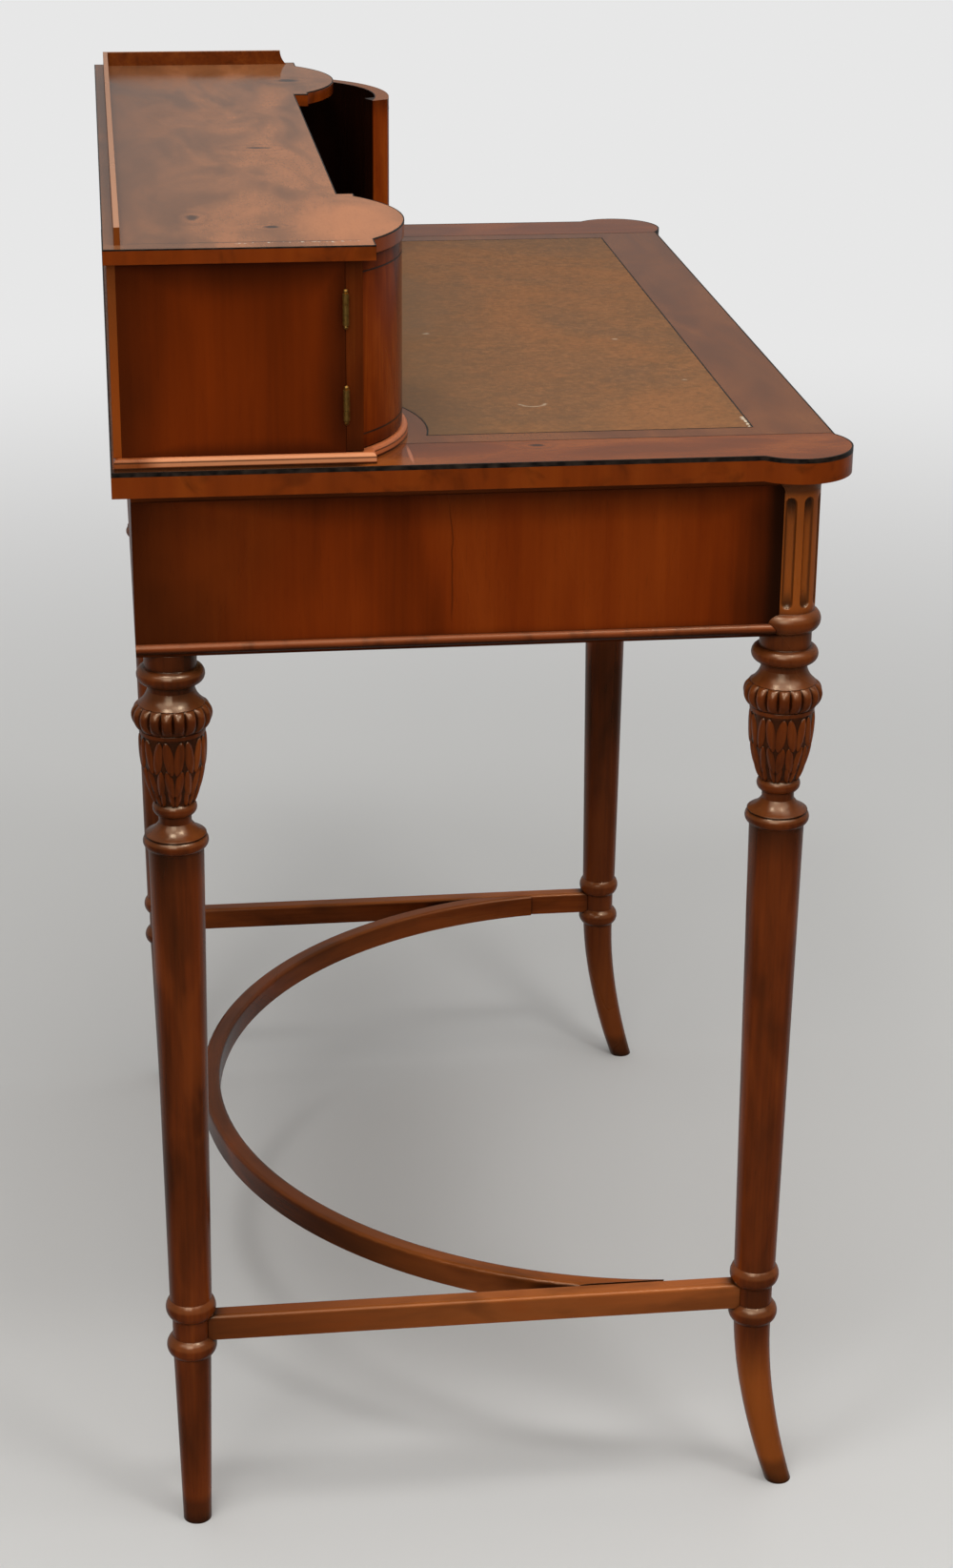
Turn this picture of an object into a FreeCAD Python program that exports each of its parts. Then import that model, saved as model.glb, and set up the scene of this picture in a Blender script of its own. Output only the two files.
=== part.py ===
import FreeCAD, Part
import math
import os

# A bonheur du jour: a lady's writing desk on four turned legs, with a low upper case of two
# bow-fronted cupboards at the back. Millimetres, +Z up, the sitter at -Y, left at -X.
# The origin is on the floor, below the middle of the desk's outline.

# Whole desk
desk_length = 720.0
desk_depth = 450.0
desk_height = 760.0
upper_height = 132.5

# Fits
glue_gap = 0.2
slide_gap = 0.5
drawer_lift = 0.3
overrun = 5.0

# Desk top: middle panel, end clamps with a round lobe over each front leg, inset leather
top_thickness = 16.0
lobe_radius = 36.0
lobe_reach = 6.0
clamp_width = 49.0
tongue_length = 6.0
tongue_thickness = 5.0
leather_thickness = 1.2
leather_side_border = 17.5
leather_front_border = 47.5
leather_case_border = 14.0

# Frieze below the top
frieze_height = 104.0
frieze_setback = 11.0
frieze_front_setback = 15.0
panel_thickness = 10.0
front_thickness = 18.0
rail_height = 12.0
rail_depth = 50.0
stile_inset = 58.0
bead_strip_height = 7.0
bead_strip_reach = 3.2
bead_strip_lift = 1.5
cove_size = 6.0
corner_block_width = 35.0

# Places of the legs, measured from the edges of the top
leg_inset_x = 26.5
back_leg_inset_y = 32.0

# Front column in the frieze
column_radius = 17.5
column_base_radius = 21.8
column_base_height = 14.0
column_cap_radius = 22.0
column_cap_height = 10.0
column_cap_lip = 2.0
flute_count = 4
flute_pitch_degrees = 39.5
flute_radius = 4.7
flute_depth = 2.2
flute_margin = 3.0
dowel_radius = 5.0
lobe_dowel_length = 8.0
block_dowel_length = 45.0

# Turned leg, from the frieze down
neck_height = 10.5
neck_radius = 16.5
torus_height = 11.0
torus_radius = 21.4
throat_height = 4.5
throat_radius = 14.9
bell_height = 9.0
bell_radius = 21.0
gadroon_height = 16.5
gadroon_radius = 25.4
gadroon_groove = 3.6
gadroon_core_radius = 20.0
gadroon_count = 18
gadroon_shoulder_share = 0.55
gadroon_stations_share = (0.0, 0.06, 0.2, 0.4, 0.6, 0.8, 0.94, 1.0)
fillet_height = 2.5
fillet_radius = 20.8
vase_height = 47.0
vase_top_radius = 19.8
vase_middle_radius = 18.7
vase_foot_radius = 12.0
ring_height = 9.0
ring_radius = 14.1
stem_height = 5.0
stem_radius = 10.4
collar_bell_height = 8.0
collar_lip_radius = 19.6
collar_groove_height = 0.8
collar_groove_radius = 18.6
collar_roll_height = 8.7
collar_radius = 20.9
shaft_top_radius = 17.8
shaft_foot_radius = 14.2
leg_bead_height = 15.0
leg_bead_radius = 17.0
waist_radius = 12.8
foot_top_radius = 12.8
back_foot_radius = 9.7
front_foot_radius = 9.2
sabre_reach = 24.0
sabre_power = 1.75
sabre_stations_share = (0.0, 0.25, 0.5, 0.75, 1.0)

# Stretchers between the legs
stretcher_level = 155.0
stretcher_width = 14.0
stretcher_height = 18.0
stretcher_round = 3.0
stretcher_gap = 14.0
tenon_radius = 4.5
tenon_length = 18.0
hoop_setback = 27.0
hoop_scarf = 35.0

# Upper case, in plan: straight ends, an ear at each corner, a bow in front of each cupboard
case_top_inset = 3.0
case_base_inset = 6.0
case_side_inset = 9.5
case_back_inset = 2.0
case_top_thickness = 9.0
case_base_thickness = 6.5
case_base_round = 2.6
case_side_thickness = 9.5
case_back_thickness = 5.0
partition_thickness = 8.4
cupboard_width = 162.0
case_depth = 159.0
recess_depth = 148.5
bow_inset = 88.0
bow_depth = 82.5
bow_radius = 101.0
base_bow_reach = 2.0
case_shelf_thickness = 4.0

# Cupboard doors and their butt hinges
door_setback = 1.5
door_thickness = 11.0
door_edge_thickness = 10.3
door_edge_setback = 7.5
door_stile_width = 13.0
door_free_edge = 12.8
door_side_gap = 0.8
door_top_gap = 0.8
door_back_gap = 0.2
right_door_open_degrees = 27.0
hinge_length = 19.0
hinge_spread = 29.0
hinge_leaf_width = 7.5
hinge_leaf_thickness = 1.0
knuckle_radius = 2.0
knuckle_clearance = 0.4
knuckle_end_gap = 0.2
pin_radius = 0.9
pin_running_gap = 0.05
pin_tip_radius = 1.5

# Gallery on the upper case
gallery_thickness = 3.5
gallery_height = 10.5
gallery_groove = 2.0
gallery_back_inset = 7.0
gallery_end_inset = 4.0
gallery_left_inset = 12.5
gallery_front_inset = 7.0
gallery_scoop = 4.5
gallery_scoop_share = 0.7
gallery_bend_share = 0.45

# Drawers
drawer_side_thickness = 8.0
drawer_bottom_thickness = 5.0
drawer_bottom_lift = 7.0
drawer_groove = 4.0
drawer_back_space = 14.0
drawer_top_space = 6.0
drawer_front_gap = 1.0
drawer_knob_place = 170.0
runner_width = 20.0
runner_lip_width = 7.0
runner_lip_height = 10.0
upper_drawer_setback = 6.0
upper_drawer_front_thickness = 9.0
upper_drawer_side_thickness = 6.0
upper_drawer_bottom_thickness = 3.0
upper_drawer_bottom_lift = 4.0
upper_drawer_groove = 3.0
upper_drawer_back_space = 7.0
upper_drawer_top_space = 4.0
upper_drawer_top_gap = 0.7
upper_drawer_knob_place = 110.0

# Brass knobs
knob_head_radius = 9.0
knob_length = 19.0
knob_plate_radius = 7.5
knob_plate_height = 2.0
knob_stem_radius = 3.6
knob_stem_share = 0.5
knob_face_radius = 4.0
knob_spigot_radius = 2.0
knob_spigot_length = 8.0
upper_knob_share = 0.65

# Wood screws
screw_radius = 2.0
screw_head_radius = 4.0
screw_head_height = 2.5
top_screw_length = 21.0
case_screw_length = 44.0
rail_screw_places_share = (-0.8, -0.27, 0.27, 0.8)
kicker_screw_places_share = (0.3, 0.8)
case_screw_places_share = (0.25, 0.75)

# Levels and planes worked out from the sizes above
end_x = desk_length / 2
back_y = (desk_depth + lobe_reach) / 2
front_y = back_y - desk_depth
top_under = desk_height - top_thickness
frieze_bottom = top_under - frieze_height
leg_x = end_x - leg_inset_x
front_leg_y = front_y - lobe_reach + lobe_radius
back_leg_y = back_y - back_leg_inset_y
clamp_x = end_x - clamp_width
frieze_x = end_x - frieze_setback
frieze_back = back_y - frieze_setback
frieze_front = front_y + frieze_front_setback
frieze_inner_x = frieze_x - panel_thickness
frieze_inner_back = frieze_back - panel_thickness
stile_x = end_x - stile_inset
opening_bottom = frieze_bottom + rail_height
opening_top = top_under - rail_height
rail_back = frieze_front + rail_depth

case_floor = desk_height + case_base_thickness
case_top = desk_height + upper_height
case_ceiling = case_top - case_top_thickness
case_back = back_y - case_back_inset
case_inner_back = case_back - case_back_thickness
case_side_x = end_x - case_side_inset
ear_y = back_y - case_depth
recess_y = back_y - recess_depth
bow_x = end_x - bow_inset
bow_y = back_y - bow_depth
partition_place = end_x - cupboard_width
partition_outer_x = partition_place + partition_thickness
door_front_y = ear_y + door_edge_setback
hinge_line = door_front_y + door_edge_thickness + door_back_gap
hinge_x = case_side_x + knuckle_clearance + knuckle_radius
hinge_y = hinge_line - door_back_gap / 2

waist_bottom = stretcher_level - stretcher_gap / 2
waist_top = stretcher_level + stretcher_gap / 2
foot_top = waist_bottom - leg_bead_height
hoop_y = front_leg_y + hoop_setback

ORIGIN = FreeCAD.Vector(0, 0, 0)
X_AXIS = FreeCAD.Vector(1, 0, 0)
Y_AXIS = FreeCAD.Vector(0, 1, 0)
Z_AXIS = FreeCAD.Vector(0, 0, 1)


def block(x, y, z):
    """A board between two limits on each axis."""
    low = FreeCAD.Vector(x[0], y[0], z[0])
    return Part.makeBox(x[1] - x[0], y[1] - y[0], z[1] - z[0], low)


def rod(radius, start, direction, length):
    return Part.makeCylinder(radius, length, start, direction)


def other_end(shape):
    """The same piece at the other end of the desk."""
    return shape.mirror(ORIGIN, X_AXIS)


def outline(start, *moves):
    """A closed face: each move is one point for a line, or a middle point and an end for an arc."""
    edges = []
    here = start
    for move in moves + ((start,),):
        if len(move) == 1:
            edges.append(Part.LineSegment(here, move[0]).toShape())
        else:
            edges.append(Part.Arc(here, move[0], move[1]).toShape())
        here = move[-1]
    return Part.Face(Part.Wire(edges))


def plan(x, y):
    return FreeCAD.Vector(x, y, 0)


def profile(radius, height):
    return FreeCAD.Vector(radius, 0, height)


def board(face, bottom, top):
    """A plan outline made into a board between two levels."""
    solid = face.extrude(Z_AXIS * (top - bottom))
    solid.translate(Z_AXIS * bottom)
    return solid


def turned(start, *moves):
    return outline(start, *moves).revolve(ORIGIN, Z_AXIS, 360)


def half_turn_point(centre_x, centre_y, radius, x):
    """The point at this x on the front half of a circle in plan."""
    return plan(x, centre_y - math.sqrt(radius ** 2 - (x - centre_x) ** 2))


def save(name, *solids):
    shape = solids[0] if len(solids) == 1 else Part.makeCompound(list(solids))
    shape.exportStep("parts/" + name + ".step")


def column(grow):
    """The front leg's corner column, from the frieze's foot to the top, widened by a gap."""
    base_top = frieze_bottom + column_base_height
    cap_bottom = top_under - column_cap_height
    cap_top = top_under - column_cap_lip
    base_middle = profile(column_base_radius + grow, (frieze_bottom + base_top) / 2)
    cap_middle_radius = column_radius + (column_cap_radius - column_radius) / 4
    cap_middle = profile(cap_middle_radius + grow, (cap_bottom + cap_top) / 2)
    return turned(
        profile(0, frieze_bottom),
        (profile(neck_radius + grow, frieze_bottom),),
        (base_middle, profile(column_radius + grow, base_top)),
        (profile(column_radius + grow, cap_bottom),),
        (cap_middle, profile(column_cap_radius + grow, cap_top)),
        (profile(column_cap_radius + grow, top_under),),
        (profile(0, top_under),),
    )


def flute(angle):
    """A round-ended groove down the column."""
    bottom = frieze_bottom + column_base_height + flute_margin + flute_radius
    top = top_under - column_cap_height - flute_margin - flute_radius
    reach = column_radius - flute_depth + flute_radius
    foot = FreeCAD.Vector(reach * math.cos(angle), reach * math.sin(angle), bottom)
    head = foot + Z_AXIS * (top - bottom)
    groove = rod(flute_radius, foot, Z_AXIS, top - bottom)
    groove = groove.fuse(Part.makeSphere(flute_radius, foot))
    return groove.fuse(Part.makeSphere(flute_radius, head))


def fluted_column():
    """The column with flutes on the quarter that shows, centred on the desk's corner."""
    post = column(0)
    for index in range(flute_count):
        turn = (index - (flute_count - 1) / 2) * flute_pitch_degrees
        post = post.cut(flute(math.radians(turn) - math.pi / 4))
    return post


def scallops(radius, groove, level):
    """A ring of equal round lobes in plan."""
    step = 2 * math.pi / gadroon_count
    valley = radius - groove
    edges = []
    for index in range(gadroon_count):
        places = ((valley, 0), (radius, step / 2), (valley, step))
        points = []
        for reach, turn in places:
            angle = index * step + turn
            points.append(FreeCAD.Vector(reach * math.cos(angle), reach * math.sin(angle), level))
        edges.append(Part.Arc(*points).toShape())
    return Part.Wire(edges)


def gadroon_ring(bottom):
    """Upright egg-shaped gadroons, fullest just above their middle, between the fillet and the bell."""
    skew = math.log(0.5) / math.log(gadroon_shoulder_share)
    sections = []
    for share in gadroon_stations_share:
        swell = math.sqrt(abs(math.sin(math.pi * share ** skew)))
        radius = gadroon_core_radius + (gadroon_radius - gadroon_core_radius) * swell
        sections.append(scallops(radius, gadroon_groove * swell, bottom + gadroon_height * share))
    return Part.makeLoft(sections, True)


def leg_turning():
    """The turned leg between the foot and the frieze, the same on all four legs."""
    bead_top = waist_top + leg_bead_height
    neck_bottom = frieze_bottom - neck_height
    torus_bottom = neck_bottom - torus_height
    bell_top = torus_bottom - throat_height
    bell_bottom = bell_top - bell_height
    fillet_top = bell_bottom - gadroon_height
    vase_top = fillet_top - fillet_height
    vase_bottom = vase_top - vase_height
    ring_bottom = vase_bottom - ring_height
    stem_bottom = ring_bottom - stem_height
    collar_lip = stem_bottom - collar_bell_height
    roll_top = collar_lip - collar_groove_height
    collar_bottom = roll_top - collar_roll_height
    flare_radius = stem_radius + (collar_lip_radius - stem_radius) / 3
    bell_middle_radius = throat_radius + (bell_radius - throat_radius) / 3
    spindle = turned(
        profile(0, foot_top),
        (profile(foot_top_radius, foot_top),),
        (profile(leg_bead_radius, foot_top + leg_bead_height / 2), profile(waist_radius, waist_bottom)),
        (profile(waist_radius, waist_top),),
        (profile(leg_bead_radius, waist_top + leg_bead_height / 2), profile(shaft_foot_radius, bead_top)),
        (profile(shaft_top_radius, collar_bottom),),
        (profile(collar_radius, (collar_bottom + roll_top) / 2), profile(collar_groove_radius, roll_top)),
        (profile(collar_groove_radius, collar_lip),),
        (profile(collar_lip_radius, collar_lip),),
        (profile(flare_radius, (collar_lip + stem_bottom) / 2), profile(stem_radius, stem_bottom)),
        (profile(stem_radius, ring_bottom),),
        (profile(ring_radius, ring_bottom + ring_height / 2), profile(vase_foot_radius, vase_bottom)),
        (profile(vase_middle_radius, vase_bottom + vase_height / 2), profile(vase_top_radius, vase_top)),
        (profile(fillet_radius, vase_top),),
        (profile(fillet_radius, fillet_top),),
        (profile(gadroon_core_radius, fillet_top),),
        (profile(gadroon_core_radius, bell_bottom),),
        (profile(bell_radius, bell_bottom),),
        (profile(bell_middle_radius, (bell_bottom + bell_top) / 2), profile(throat_radius, bell_top)),
        (profile(throat_radius, torus_bottom),),
        (profile(torus_radius, torus_bottom + torus_height / 2), profile(neck_radius, neck_bottom)),
        (profile(neck_radius, frieze_bottom),),
        (profile(0, frieze_bottom),),
    )
    return spindle.fuse(gadroon_ring(fillet_top))


def sabre_foot():
    """The front foot: round sections that narrow and sweep forward to the floor."""
    sections = []
    for share in sabre_stations_share:
        radius = foot_top_radius + (front_foot_radius - foot_top_radius) * share
        centre = FreeCAD.Vector(0, -sabre_reach * share ** sabre_power, foot_top * (1 - share))
        sections.append(Part.Wire(Part.makeCircle(radius, centre, Z_AXIS)))
    return Part.makeLoft(sections, True)


def mortise(direction):
    """The blind hole for a stretcher's tenon, in a leg on the Z axis."""
    start = Z_AXIS * stretcher_level + direction * (waist_radius + glue_gap - tenon_depth())
    return rod(tenon_radius + glue_gap, start, direction, tenon_depth() + overrun)


def tenon_depth():
    return tenon_length - waist_radius


def front_leg():
    leg = leg_turning().fuse([fluted_column(), sabre_foot()])
    leg = leg.fuse(rod(dowel_radius, Z_AXIS * top_under, Z_AXIS, lobe_dowel_length))
    leg = leg.cut(mortise(Y_AXIS)).removeSplitter()
    leg.translate(plan(leg_x, front_leg_y))
    return leg


def back_leg():
    foot = Part.makeCone(back_foot_radius, foot_top_radius, foot_top)
    peg = rod(dowel_radius, Z_AXIS * frieze_bottom, Z_AXIS, block_dowel_length)
    leg = leg_turning().fuse([foot, peg])
    leg = leg.cut(mortise(Y_AXIS * -1)).removeSplitter()
    leg.translate(plan(leg_x, back_leg_y))
    return leg


def stretcher_section(x):
    """The stretcher's end: a flat-sided bar with rounded upper edges."""
    inner = x - stretcher_width / 2
    outer = x + stretcher_width / 2
    bottom = stretcher_level - stretcher_height / 2
    top = stretcher_level + stretcher_height / 2
    shoulder = top - stretcher_round
    corner = stretcher_round * (1 - math.sqrt(0.5))
    return outline(
        profile(inner, bottom),
        (profile(outer, bottom),),
        (profile(outer, shoulder),),
        (profile(outer - corner, top - corner), profile(outer - stretcher_round, top)),
        (profile(inner + stretcher_round, top),),
        (profile(inner + corner, top - corner), profile(inner, shoulder)),
    )


def end_stretcher(front_post, back_post):
    """A straight stretcher, its shoulders scribed to the two legs and tenoned into them."""
    bar = stretcher_section(leg_x)
    bar.translate(Y_AXIS * front_leg_y)
    bar = bar.extrude(Y_AXIS * (back_leg_y - front_leg_y))
    bar = bar.cut([front_post, back_post])
    start = FreeCAD.Vector(leg_x, front_leg_y + waist_radius + glue_gap * 2 - tenon_depth(), stretcher_level)
    finish = back_leg_y - waist_radius - glue_gap * 2 + tenon_depth()
    return bar.fuse(rod(tenon_radius, start, Y_AXIS, finish - start.y)).removeSplitter()


def leg_socket(y):
    """The turned waist and beads of a leg, with the glue gap, for scribing a stretcher to it."""
    low = waist_bottom - leg_bead_height
    high = waist_top + leg_bead_height
    bead_reach = leg_bead_radius + glue_gap
    waist_reach = waist_radius + glue_gap
    socket = turned(
        profile(0, low),
        (profile(foot_top_radius + glue_gap, low),),
        (profile(bead_reach, low + leg_bead_height / 2), profile(waist_reach, waist_bottom)),
        (profile(waist_reach, waist_top),),
        (profile(bead_reach, high - leg_bead_height / 2), profile(shaft_foot_radius + glue_gap, high)),
        (profile(0, high),),
    )
    socket.translate(plan(leg_x, y))
    return socket


def hoop_stretcher():
    """A half ring between the end stretchers, scarfed to their inner sides near the front legs."""
    ring = stretcher_section(leg_x).revolve(ORIGIN, Z_AXIS, 180)
    ring.translate(Y_AXIS * hoop_y)
    inner_face = leg_x - stretcher_width / 2
    reach = leg_x + stretcher_width
    levels = (stretcher_level - stretcher_height, stretcher_level + stretcher_height)
    keep = block((-inner_face, inner_face), (hoop_y + hoop_scarf, hoop_y + reach), levels)
    return ring.common(keep)


def clamp():
    """An end clamp of the top, with its lobe over the front leg."""
    side = math.sqrt(lobe_radius ** 2 - (front_leg_y - front_y) ** 2)
    along = math.sqrt(lobe_radius ** 2 - (end_x - leg_x) ** 2)
    diagonal = lobe_radius * math.sqrt(0.5)
    face = outline(
        plan(clamp_x, front_y),
        (plan(leg_x - side, front_y),),
        (plan(leg_x + diagonal, front_leg_y - diagonal), plan(end_x, front_leg_y + along)),
        (plan(end_x, back_y),),
        (plan(clamp_x, back_y),),
    )
    piece = board(face, top_under, desk_height)
    socket = rod(dowel_radius + glue_gap, plan(leg_x, front_leg_y), Z_AXIS, top_under + lobe_dowel_length)
    return piece.cut([tongue(), socket])


def tongue():
    """The tongue along the middle panel's end, which the clamp's groove takes."""
    middle = desk_height - top_thickness / 2
    levels = (middle - tongue_thickness / 2, middle + tongue_thickness / 2)
    return block((clamp_x, clamp_x + tongue_length), (front_y, back_y), levels)


def leather():
    """The writing leather: its rear edge follows the cupboards' bows at an even border."""
    x = clamp_x - leather_side_border
    front = front_y + leather_front_border
    back = recess_y - leather_case_border
    reach = bow_radius + leather_case_border
    inner_x = bow_x - math.sqrt(reach ** 2 - (bow_y - back) ** 2)
    middle_x = (x + inner_x) / 2
    face = outline(
        plan(-x, front),
        (plan(x, front),),
        (half_turn_point(bow_x, bow_y, reach, x),),
        (half_turn_point(bow_x, bow_y, reach, middle_x), plan(inner_x, back)),
        (plan(-inner_x, back),),
        (half_turn_point(-bow_x, bow_y, reach, -middle_x), half_turn_point(-bow_x, bow_y, reach, -x)),
    )
    return board(face, desk_height - leather_thickness, desk_height)


def frieze_end(post):
    """A veneered end of the frieze, scribed to the front column."""
    panel = block((frieze_inner_x, frieze_x), (front_leg_y, frieze_back), (frieze_bottom, top_under))
    return panel.cut(post)


def front_stile(post):
    """The short upright between the column and the drawer."""
    depth = (frieze_front, frieze_front + front_thickness)
    return block((stile_x, leg_x), depth, (frieze_bottom, top_under)).cut(post)


def bead_face():
    """The half-round bead's section, against a face at x = 0."""
    low = frieze_bottom + bead_strip_lift
    return outline(
        profile(0, low),
        (profile(bead_strip_reach, low + bead_strip_height / 2), profile(0, low + bead_strip_height)),
    )


def cove_face():
    """The hollow moulding's section under the top, against a face at x = 0."""
    hollow = cove_size * (1 - math.sqrt(0.5))
    return outline(
        profile(0, top_under),
        (profile(0, top_under - cove_size),),
        (profile(hollow, top_under - hollow), profile(cove_size, top_under)),
    )


def strips(face, post):
    """One moulding along each end of the frieze and one along its front, cut at the columns."""
    end = face.copy()
    end.translate(plan(frieze_x, front_leg_y))
    end = end.extrude(Y_AXIS * (frieze_back - front_leg_y)).cut(post)
    front = face.copy()
    front.rotate(ORIGIN, Z_AXIS, -90)
    front.translate(plan(-leg_x, frieze_front))
    front = front.extrude(X_AXIS * (2 * leg_x)).cut([post, other_end(post)])
    return end, other_end(end), front


def runner():
    """An L-shaped drawer runner between the lower rail and the back."""
    inner = stile_x - runner_width
    depth = (rail_back, frieze_inner_back)
    rail = block((inner, stile_x), depth, (frieze_bottom, opening_bottom))
    lip_x = (stile_x - runner_lip_width, stile_x)
    return rail.fuse(block(lip_x, depth, (opening_bottom, opening_bottom + runner_lip_height))).removeSplitter()


def kicker():
    """The strip above a drawer side that stops the drawer from tipping."""
    depth = (rail_back, frieze_inner_back)
    return block((stile_x - runner_width, stile_x), depth, (opening_top, top_under))


def corner_block():
    """The block in the back corner of the frieze that takes the leg's dowel."""
    x = (frieze_inner_x - corner_block_width, frieze_inner_x)
    y = (frieze_inner_back - corner_block_width, frieze_inner_back)
    piece = block(x, y, (frieze_bottom, top_under))
    socket = rod(dowel_radius + glue_gap, plan(leg_x, back_leg_y), Z_AXIS, frieze_bottom + block_dowel_length)
    return piece.cut(socket)


def screw(x, y, head, length):
    """A countersunk wood screw that points up from its head."""
    tip = length - screw_radius
    piece = turned(
        profile(0, 0),
        (profile(screw_head_radius, 0),),
        (profile(screw_radius, screw_head_height),),
        (profile(screw_radius, tip),),
        (profile(0, length),),
    )
    piece.translate(FreeCAD.Vector(x, y, head))
    return piece


def case_outline(x, back, radius):
    """The upper case in plan: straight ends, ears, two bows and the recess between them."""
    half_bow = math.sqrt(radius ** 2 - (bow_y - ear_y) ** 2)
    apex = bow_y - radius
    return outline(
        plan(-x, back),
        (plan(-x, ear_y),),
        (plan(-bow_x - half_bow, ear_y),),
        (plan(-bow_x, apex), plan(-bow_x + half_bow, ear_y)),
        (plan(-partition_place, ear_y),),
        (plan(-partition_place, recess_y),),
        (plan(partition_place, recess_y),),
        (plan(partition_place, ear_y),),
        (plan(bow_x - half_bow, ear_y),),
        (plan(bow_x, apex), plan(bow_x + half_bow, ear_y)),
        (plan(x, ear_y),),
        (plan(x, back),),
    )


def case_base():
    """The base board, with its upper edge rounded all round."""
    face = case_outline(end_x - case_base_inset, case_back, bow_radius + base_bow_reach)
    piece = board(face, desk_height, case_floor)
    upper = [edge for edge in piece.Edges if edge.BoundBox.ZMin > case_floor - glue_gap]
    return piece.makeFillet(case_base_round, upper)


def door():
    """The right cupboard's door, shut: bowed in front, hollow behind, between two flat stiles."""
    radius = bow_radius - door_setback
    back = hinge_line - door_back_gap
    free_x = partition_outer_x + door_side_gap
    corner_x = bow_x + math.sqrt(radius ** 2 - (bow_y - door_front_y) ** 2)
    free_corner = half_turn_point(bow_x, bow_y, radius, free_x)
    face = outline(
        plan(case_side_x, back),
        (plan(case_side_x, door_front_y),),
        (plan(corner_x, door_front_y),),
        (plan(bow_x, bow_y - radius), free_corner),
        (plan(free_x, free_corner.y + door_free_edge),),
        (plan(free_x + door_stile_width, free_corner.y + door_free_edge),),
        (plan(free_x + door_stile_width, back),),
    )
    levels = (case_floor + door_top_gap, case_ceiling - door_top_gap)
    leaf = board(face, *levels)
    hollow = rod(radius - door_thickness, plan(bow_x, bow_y), Z_AXIS, case_top)
    inside = (free_x + door_stile_width, case_side_x - door_stile_width)
    hollow = hollow.common(block(inside, (ear_y - radius, back + overrun), (0, case_top)))
    return leaf.cut(hollow)


def hinge_levels():
    middle = (case_floor + case_ceiling) / 2
    return (middle - hinge_spread, middle + hinge_spread)


def knuckles(z, lower_shares, radius):
    """The rolled ends of one leaf: each takes a third of the hinge's length."""
    third = hinge_length / 3
    start = z - hinge_length / 2
    rolls = []
    for share in lower_shares:
        foot = FreeCAD.Vector(hinge_x, hinge_y, start + share * third + knuckle_end_gap / 2)
        rolls.append(rod(radius, foot, Z_AXIS, third - knuckle_end_gap))
    return rolls


def hinge_leaf(z, y, own_shares, other_shares, bore):
    """One leaf of a butt hinge: a plate, its own knuckles, and room for the other leaf's."""
    levels = (z - hinge_length / 2 + knuckle_end_gap / 2, z + hinge_length / 2 - knuckle_end_gap / 2)
    plate = block((case_side_x - hinge_leaf_width, hinge_x), (y, y + hinge_leaf_thickness), levels)
    third = hinge_length / 3
    room_x = (case_side_x, hinge_x + overrun)
    room_y = (hinge_y - overrun, hinge_y + overrun)
    for share in other_shares:
        low = z - hinge_length / 2 + share * third
        room_z = (low - knuckle_end_gap / 2, low + third + knuckle_end_gap / 2)
        plate = plate.cut(block(room_x, room_y, room_z))
    plate = plate.fuse(knuckles(z, own_shares, knuckle_radius))
    hole = rod(bore, FreeCAD.Vector(hinge_x, hinge_y, z - hinge_length), Z_AXIS, hinge_length * 2)
    return plate.cut(hole).removeSplitter()


def frame_leaf(z):
    return hinge_leaf(z, hinge_line, (0, 2), (1,), pin_radius + pin_running_gap / 2)


def door_leaf(z):
    y = hinge_line - door_back_gap - hinge_leaf_thickness
    return hinge_leaf(z, y, (1,), (0, 2), pin_radius + pin_running_gap)


def hinge_pin(z):
    """The pin, with a small ball tip above and below the knuckles."""
    foot = FreeCAD.Vector(hinge_x, hinge_y, z - hinge_length / 2)
    head = foot + Z_AXIS * hinge_length
    pin = rod(pin_radius, foot, Z_AXIS, hinge_length)
    offset = Z_AXIS * math.sqrt(pin_tip_radius ** 2 - pin_radius ** 2)
    pin = pin.fuse(Part.makeSphere(pin_tip_radius, head + offset))
    return pin.fuse(Part.makeSphere(pin_tip_radius, foot - offset))


def leaf_seat(z, y):
    """The shallow housing that a hinge plate is let into."""
    levels = (z - hinge_length / 2, z + hinge_length / 2)
    x = (case_side_x - hinge_leaf_width, case_side_x + overrun)
    return block(x, (y, y + hinge_leaf_thickness), levels)


def gallery_rail():
    """The low rail along the back, let into the board below."""
    x = (gallery_left_inset - end_x + case_top_inset, end_x - case_top_inset - gallery_end_inset)
    y = (back_y - gallery_back_inset - gallery_thickness, back_y - gallery_back_inset)
    return block(x, y, (case_top - gallery_groove, case_top + gallery_height))


def gallery_end():
    """The low rail along the right end, its front scooped down to the board."""
    x = end_x - case_top_inset - gallery_end_inset
    front = ear_y + gallery_front_inset
    back = back_y - gallery_back_inset - gallery_thickness
    bottom = case_top - gallery_groove
    top = case_top + gallery_height

    def side(y, z):
        return FreeCAD.Vector(x, y, z)

    middle = side(front + gallery_scoop * gallery_scoop_share, case_top + gallery_height * gallery_bend_share)
    face = outline(
        side(front, bottom),
        (side(front, case_top),),
        (middle, side(front + gallery_scoop, top)),
        (side(back, top),),
        (side(back, bottom),),
    )
    return face.extrude(X_AXIS * -gallery_thickness)


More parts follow.
